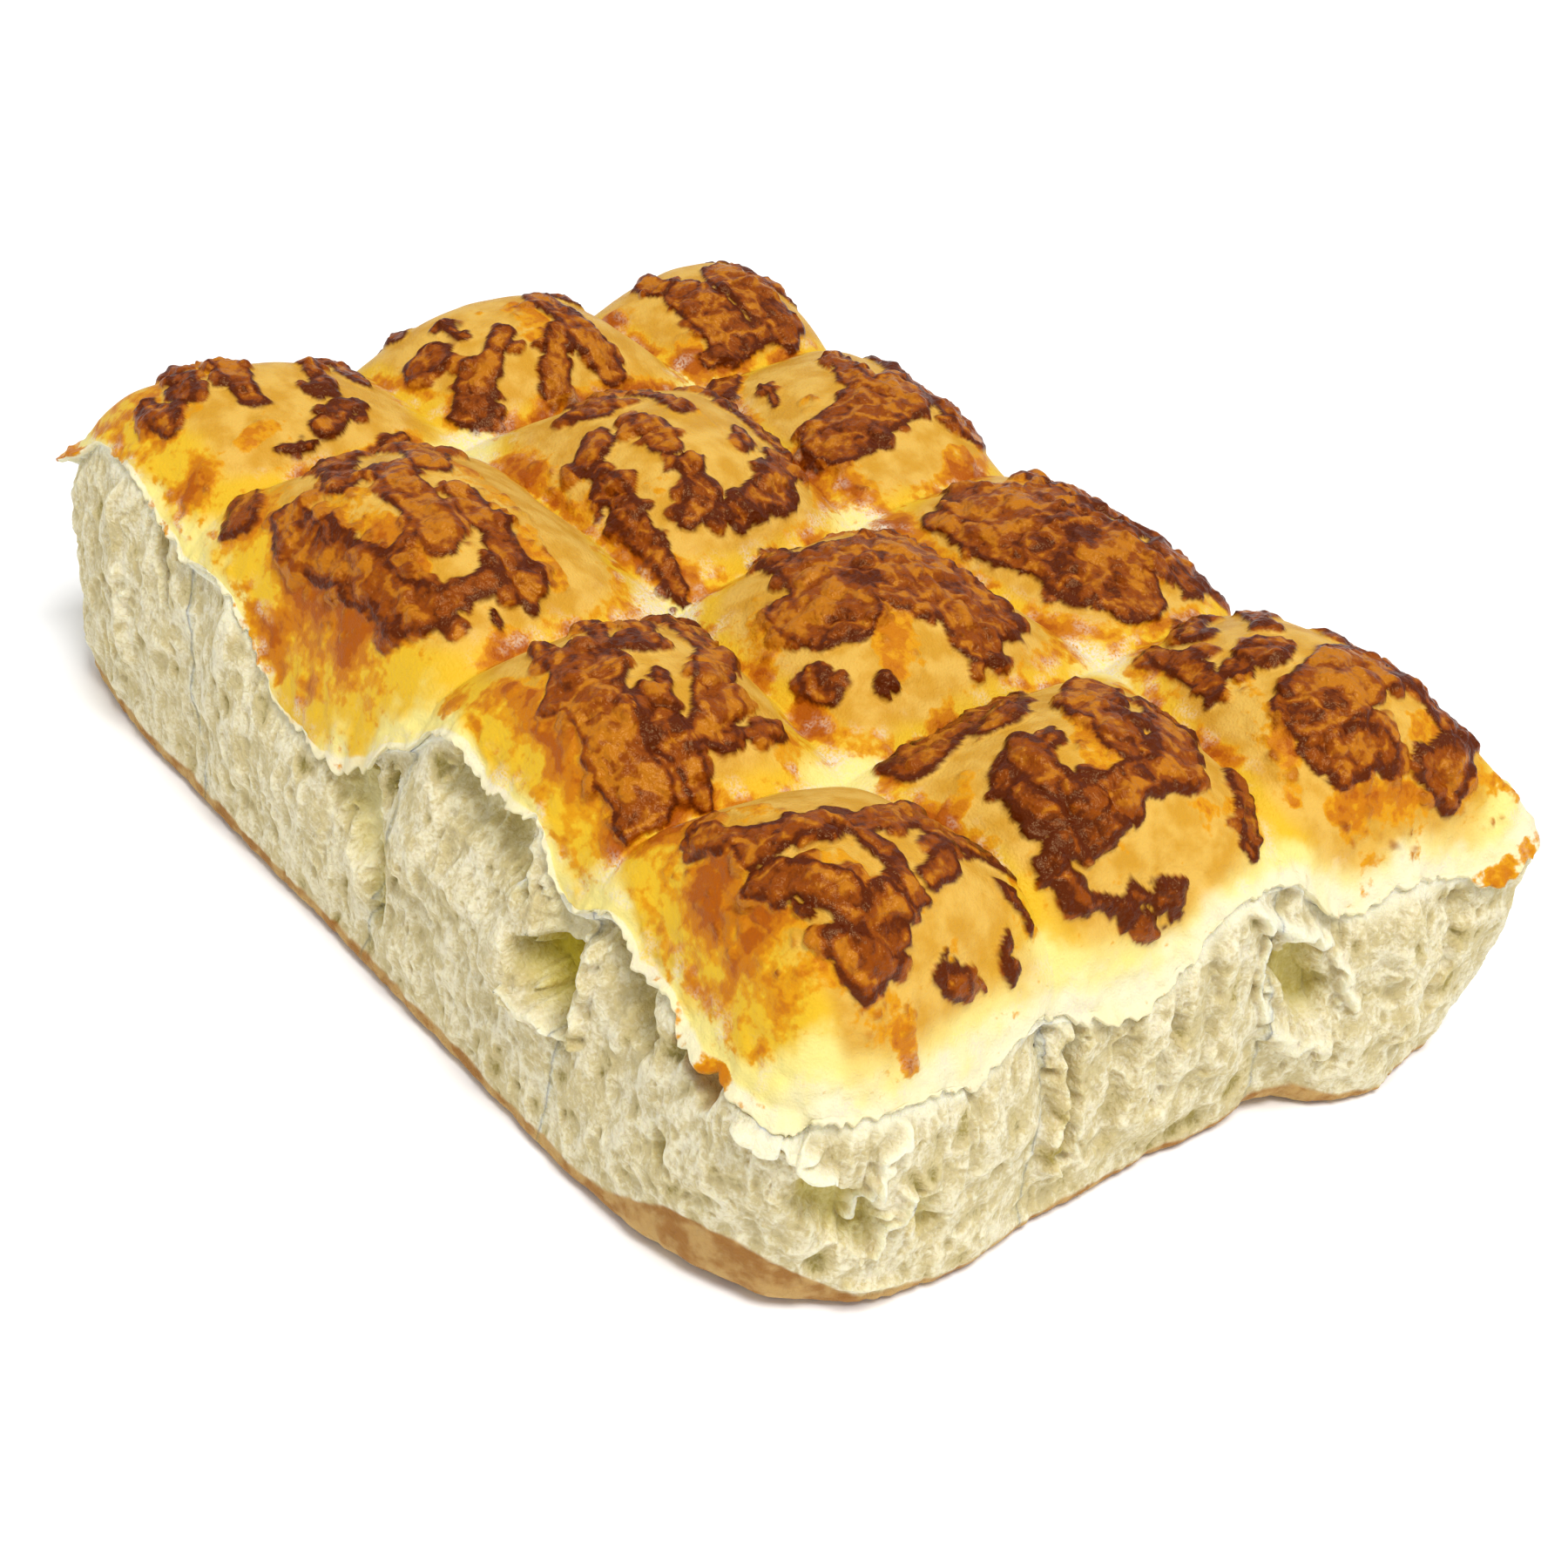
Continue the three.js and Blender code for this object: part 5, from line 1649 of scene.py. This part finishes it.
@dataclass(frozen=True)
class CrumbFinish:
    """Torn crumb: pale and soft, painted darker and yellower as shade in low places and hollows, tan at the
    base.
    """

    pale: Color = srgb(248, 239, 206)
    # Painted shade: shade colours the crumb's low places, and pore the lowest.
    shade: Color = srgb(218, 201, 150)
    pore: Color = srgb(164, 146, 72)
    # Painted shade for the hollows: a darker olive yellow.
    deep: Color = srgb(224, 202, 40)
    skin: Color = srgb(250, 244, 214)
    tan: Color = srgb(206, 166, 102)
    brown: Color = srgb(172, 120, 58)

    def material(self) -> bpy.types.Material:
        """Make the material from the masks of the torn sides.

        Returns:
            The crumb material.
        """
        n = Nodes("torn_crumb")
        cloud = n.noise(2.6, 4.0, (1.0, 1.0, 0.5))
        tan = n.blend(n.step(n.noise(5.0, 6.0), 0.4, 0.62), self.tan, self.brown)
        n.warp(1.6, 1.4)
        fine = n.noise(0.7, 3.0)
        walls = n.cells(1.5, (1.0, 1.0, 0.75))
        # Painted shade: the lower a place of the crumb lies, the more it takes the shade colour, the lowest
        # the pore colour.
        pit = n.jitter(n.jitter(n.mask("pit"), cloud, 0.7), fine, 0.9)
        color = n.blend(n.step(pit, 0.0, 0.55), self.pale, self.shade)
        color = n.blend(n.step(pit, 0.55, 1.2), color, self.pore)
        # Painted shade: the hollows take the darker olive yellow.
        color = n.blend(n.math("MULTIPLY", n.mask("deep"), 0.9), color, self.deep)
        color = n.blend(n.step(n.mask("skin"), 0.1, 0.9), color, self.skin)
        color = n.blend(n.mask("bake"), color, tan)
        height = n.math("ADD", fine, n.math("MULTIPLY", walls, 0.7))
        normal = n.bump(height, 0.55, 1.0)
        n.surface(color, 0.8, normal, Subsurface_Weight=0.7, Subsurface_Radius=(1.0, 0.85, 0.5),
                  Subsurface_Scale=0.003, Specular_IOR_Level=0.2)
        return n.material


# ---- Rolls ----------------------------------------------------------------------------------


class Region(Enum):
    """Where a face of a roll lies, which is also its material slot."""

    TOP = 0
    SIDE = 1


@dataclass
class RollSlab:
    """Cuts the sheets into twelve closed rolls and dresses them."""

    form: SlabForm
    top: Sheet
    sides: Sheet
    ring_grid: Array
    cells: int
    crust_rows: int
    finishes: tuple[bpy.types.Material, ...]
    shift: Array

    def __post_init__(self) -> None:
        """Number every point of the sheets, and add one point under each inner crossing."""
        rows, columns = self.top.points.shape[:2]
        self.columns, self.ring = columns, len(self.ring_grid)
        under = self.form.crossings[1:-1, 1:-1].reshape(-1, 2)
        under = np.concatenate([under, np.zeros((len(under), 1))], axis=1)
        sheets = [self.top.points.reshape(-1, 3), self.sides.points.reshape(-1, 3)]
        self.points = np.concatenate(sheets + [under])
        base = {"bake": np.ones(len(under))}
        self.masks = {
            name: np.concatenate([self.top.masks[name].ravel(), self.sides.masks[name].ravel(),
                                  base.get(name, np.zeros(len(under)))])
            for name in MASKS
        }
        self.under_start = len(self.points) - len(under)
        below = np.arange(rows * columns, self.under_start).reshape(-1, self.ring)
        rim = self.ring_grid[:, 0] * columns + self.ring_grid[:, 1]
        self.rings = np.concatenate([rim[None], below])
        self.normals = self.vertex_normals()

    def vertex_normals(self) -> Array:
        """Normals of the whole surface, so that neighbouring rolls shade alike: summed face normals."""
        rows, columns = self.top.points.shape[:2]
        grid = np.arange(rows * columns).reshape(rows, columns)
        ahead = np.roll(self.rings, -1, axis=1)
        quads = np.concatenate([
            np.stack([grid[:-1, :-1], grid[:-1, 1:], grid[1:, 1:], grid[1:, :-1]], axis=-1).reshape(-1, 4),
            np.stack([self.rings[:-1], self.rings[1:], ahead[1:], ahead[:-1]], axis=-1).reshape(-1, 4),
        ])
        corner = self.points[quads]
        facing = np.cross(corner[:, 2] - corner[:, 0], corner[:, 3] - corner[:, 1])
        normals = np.zeros_like(self.points)
        for place in range(4):
            for axis in range(3):
                normals[:, axis] += np.bincount(quads[:, place], facing[:, axis], minlength=len(normals))
        normals[self.under_start:] = (0, 0, -1)
        return normals / np.maximum(np.linalg.norm(normals, axis=1, keepdims=True), 1e-12)

    def ring_step(self, i: int, j: int) -> int:
        """The ring step at a crossing on the slab's edge."""
        long, short, n = self.form.long_rolls, self.form.short_rolls, self.cells
        if j == 0:
            return i * n
        if i == long:
            return (long + j) * n
        if j == short:
            return (2 * long + short - i) * n
        return (2 * (long + short) - j) * n

    def column_down(self, i: int, j: int) -> list[int]:
        """Points from a crossing down to the base: along the side, or the one point under it."""
        if i in (0, self.form.long_rolls) or j in (0, self.form.short_rolls):
            return self.rings[1:, self.ring_step(i, j) % self.ring].tolist()
        return [self.under_start + (j - 1) * (self.form.long_rolls - 1) + (i - 1)]

    def crease(self, start: tuple[int, int], end: tuple[int, int]) -> list[int]:
        """Points of the top along a crease from one crossing to the next."""
        steps = np.arange(self.cells + 1)
        column = start[0] * self.cells + steps * (end[0] - start[0])
        row = start[1] * self.cells + steps * (end[1] - start[1])
        return (row * self.columns + column).tolist()

    def roll_faces(self, i: int, j: int) -> tuple[list[tuple[Array, Region]], list[list[int]]]:
        """The faces of one roll: grids of quads, and single wide faces that close it.

        Args:
            i: The roll's number along X.
            j: The roll's number along Y.

        Returns:
            Quads (N, 4) with their region, and the wide faces.
        """
        n = self.cells
        row, column = np.meshgrid(np.arange(j * n, (j + 1) * n), np.arange(i * n, (i + 1) * n), indexing="ij")
        corner = (row * self.columns + column).ravel()
        cell = (corner, corner + 1, corner + self.columns + 1, corner + self.columns)
        quads = [(np.stack(cell, axis=1), Region.TOP)]
        wide: list[list[int]] = []
        base: list[int] = []
        around = [(i, j), (i + 1, j), (i + 1, j + 1), (i, j + 1)]
        for start, end in zip(around, around[1:] + around[:1]):
            outer = (start[0] == end[0] and start[0] in (0, self.form.long_rolls)) or (
                start[1] == end[1] and start[1] in (0, self.form.short_rolls))
            if outer:
                steps = np.arange(n) + self.ring_step(*start)
                here, ahead = self.rings[:, steps % self.ring], self.rings[:, (steps + 1) % self.ring]
                grid = np.stack([here[:-1], here[1:], ahead[1:], ahead[:-1]], axis=-1)
                quads.append((grid[:self.crust_rows].reshape(-1, 4), Region.TOP))
                quads.append((grid[self.crust_rows:].reshape(-1, 4), Region.SIDE))
                base += here[-1].tolist()
            else:
                down, up = self.column_down(*start), self.column_down(*end)[::-1]
                wide.append(self.crease(start, end)[::-1] + down + up)
                base.append(down[-1])
        wide.append(base[::-1])
        return quads, wide

    def build_roll(self, i: int, j: int, name: str) -> bpy.types.Object:
        """Build one closed roll and give it its masks and finishes.

        Args:
            i: The roll's number along X.
            j: The roll's number along Y.
            name: The piece's name.

        Returns:
            The finished piece.
        """
        quads, wide = self.roll_faces(i, j)
        loops = [grid.ravel() for grid, _ in quads] + [np.array(loop) for loop in wide]
        used, corners = np.unique(np.concatenate(loops), return_inverse=True)
        wide_sizes = np.array([len(loop) for loop in wide])
        sizes = np.concatenate([np.full(len(grid), 4) for grid, _ in quads] + [wide_sizes])
        wide_slots = np.full(len(wide), Region.SIDE.value)
        slots = np.concatenate([np.full(len(grid), region.value) for grid, region in quads] + [wide_slots])
        mesh = bpy.data.meshes.new(name)
        mesh.vertices.add(len(used))
        mesh.vertices.foreach_set("co", ((self.points[used] + self.shift) * MM).ravel())
        mesh.loops.add(len(corners))
        mesh.loops.foreach_set("vertex_index", corners.astype(np.int32))
        mesh.polygons.add(len(sizes))
        mesh.polygons.foreach_set("loop_start", (np.cumsum(sizes) - sizes).astype(np.int32))
        mesh.polygons.foreach_set("material_index", slots.astype(np.int32))
        mesh.polygons.foreach_set("use_smooth", np.ones(len(sizes), dtype=bool))
        mesh.update(calc_edges=True)
        mesh.normals_split_custom_set_from_vertices(self.normals[used])
        for mask, values in self.masks.items():
            layer = mesh.attributes.new(mask, "FLOAT", "POINT")
            layer.data.foreach_set("value", values[used].astype(np.float32))
        for finish in self.finishes:
            mesh.materials.append(finish)
        piece = bpy.data.objects.new(name, mesh)
        bpy.context.scene.collection.objects.link(piece)
        return piece

    def build(self) -> list[bpy.types.Object]:
        """Build all the rolls, row by row."""
        return [self.build_roll(i, j, f"roll_{j + 1}_{i + 1}")
                for j in range(self.form.short_rolls) for i in range(self.form.long_rolls)]


# ---- Studio ---------------------------------------------------------------------------------


@dataclass(frozen=True)
class Softbox:
    """A square area light: where it hangs, its size and its strength."""

    name: str
    place: tuple[float, float, float]
    size: float
    power: float


@dataclass
class Studio:
    """A pale floor, soft lights and the camera of the photograph."""

    shift: Array
    azimuth: float = 47.69
    elevation: float = 33.99
    roll: float = 7.62
    distance: float = 520.0
    focal_mm: float = 64.6
    target: tuple[float, float, float] = (25.5, -10.7, 31.35)
    floor_color: Color = (1.0, 1.0, 1.0)
    surround: float = 0.6
    softboxes: tuple[Softbox, ...] = (
        Softbox("key", (0.95, -0.3, 2.2), 0.9, 48.0),
    )

    def camera(self) -> None:
        """Place the camera: on a sphere round the target, turned about its own axis by the roll."""
        a, e, r = (math.radians(x) for x in (self.azimuth, self.elevation, self.roll))
        back = np.array([math.sin(a) * math.cos(e), -math.cos(a) * math.cos(e), math.sin(e)])
        right = np.array([math.cos(a), math.sin(a), 0.0])
        up = np.cross(back, right)
        matrix = np.eye(4)
        matrix[:3, 0] = math.cos(r) * right + math.sin(r) * up
        matrix[:3, 1] = -math.sin(r) * right + math.cos(r) * up
        matrix[:3, 2] = back
        matrix[:3, 3] = (np.array(self.target) + self.shift + back * self.distance) * MM
        data = bpy.data.cameras.new("camera")
        data.sensor_width = 36.0
        data.lens = self.focal_mm
        data.clip_start = 0.01
        camera = bpy.data.objects.new("camera", data)
        camera.matrix_world = Matrix(matrix.tolist())
        bpy.context.scene.collection.objects.link(camera)
        bpy.context.scene.camera = camera

    def lights(self) -> None:
        """Hang the softboxes, each turned to the slab, and set an even pale surround."""
        for box in self.softboxes:
            data = bpy.data.lights.new(box.name, "AREA")
            data.size = box.size
            data.energy = box.power
            light = bpy.data.objects.new(box.name, data)
            light.location = box.place
            light.rotation_euler = Vector(box.place).to_track_quat("Z", "Y").to_euler()
            bpy.context.scene.collection.objects.link(light)
        world = bpy.data.worlds.new("surround")
        world.use_nodes = True
        background = world.node_tree.nodes["Background"]
        background.inputs["Color"].default_value = (1.0, 1.0, 1.0, 1.0)
        background.inputs["Strength"].default_value = self.surround
        bpy.context.scene.world = world

    def floor(self) -> None:
        """Lay the floor, a plain square that is no part of the object."""
        half = 3.0
        mesh = bpy.data.meshes.new("floor")
        corners = [(-half, -half, 0), (half, -half, 0), (half, half, 0), (-half, half, 0)]
        mesh.from_pydata(corners, [], [(0, 1, 2, 3)])
        n = Nodes("floor")
        n.surface(self.floor_color, 0.9, n.bump(0.0, 0.0))
        mesh.materials.append(n.material)
        floor = bpy.data.objects.new("floor", mesh)
        bpy.context.scene.collection.objects.link(floor)

    def build(self) -> None:
        """Set up floor, lights, camera and the plain view of colours."""
        self.floor()
        self.lights()
        self.camera()
        bpy.context.scene.view_settings.view_transform = "Standard"


def main() -> None:
    """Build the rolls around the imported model, dress them and light them."""
    form = SlabForm()
    baked = BakedTop(form, Cheese())
    top, s, t = baked.build()
    log.info("top: %d by %d points", *top.points.shape[:2])
    torn = TornSides(form)
    sides, ring_grid = torn.build(top, s, t)
    log.info("sides: %d by %d points", *sides.points.shape[:2])
    shift = np.array(FORM_ORIGIN)
    finishes = (CrustFinish().material(), CrumbFinish().material())
    slab = RollSlab(form, top, sides, ring_grid, baked.cells_per_roll, torn.lip_crust_rows, finishes, shift)
    for piece in slab.build():
        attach(piece, "root")
        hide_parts(NODE)
        log.info("%s: %d faces", piece.name, len(piece.data.polygons))
    Studio(shift).build()


if __name__ == "__main__":
    main()
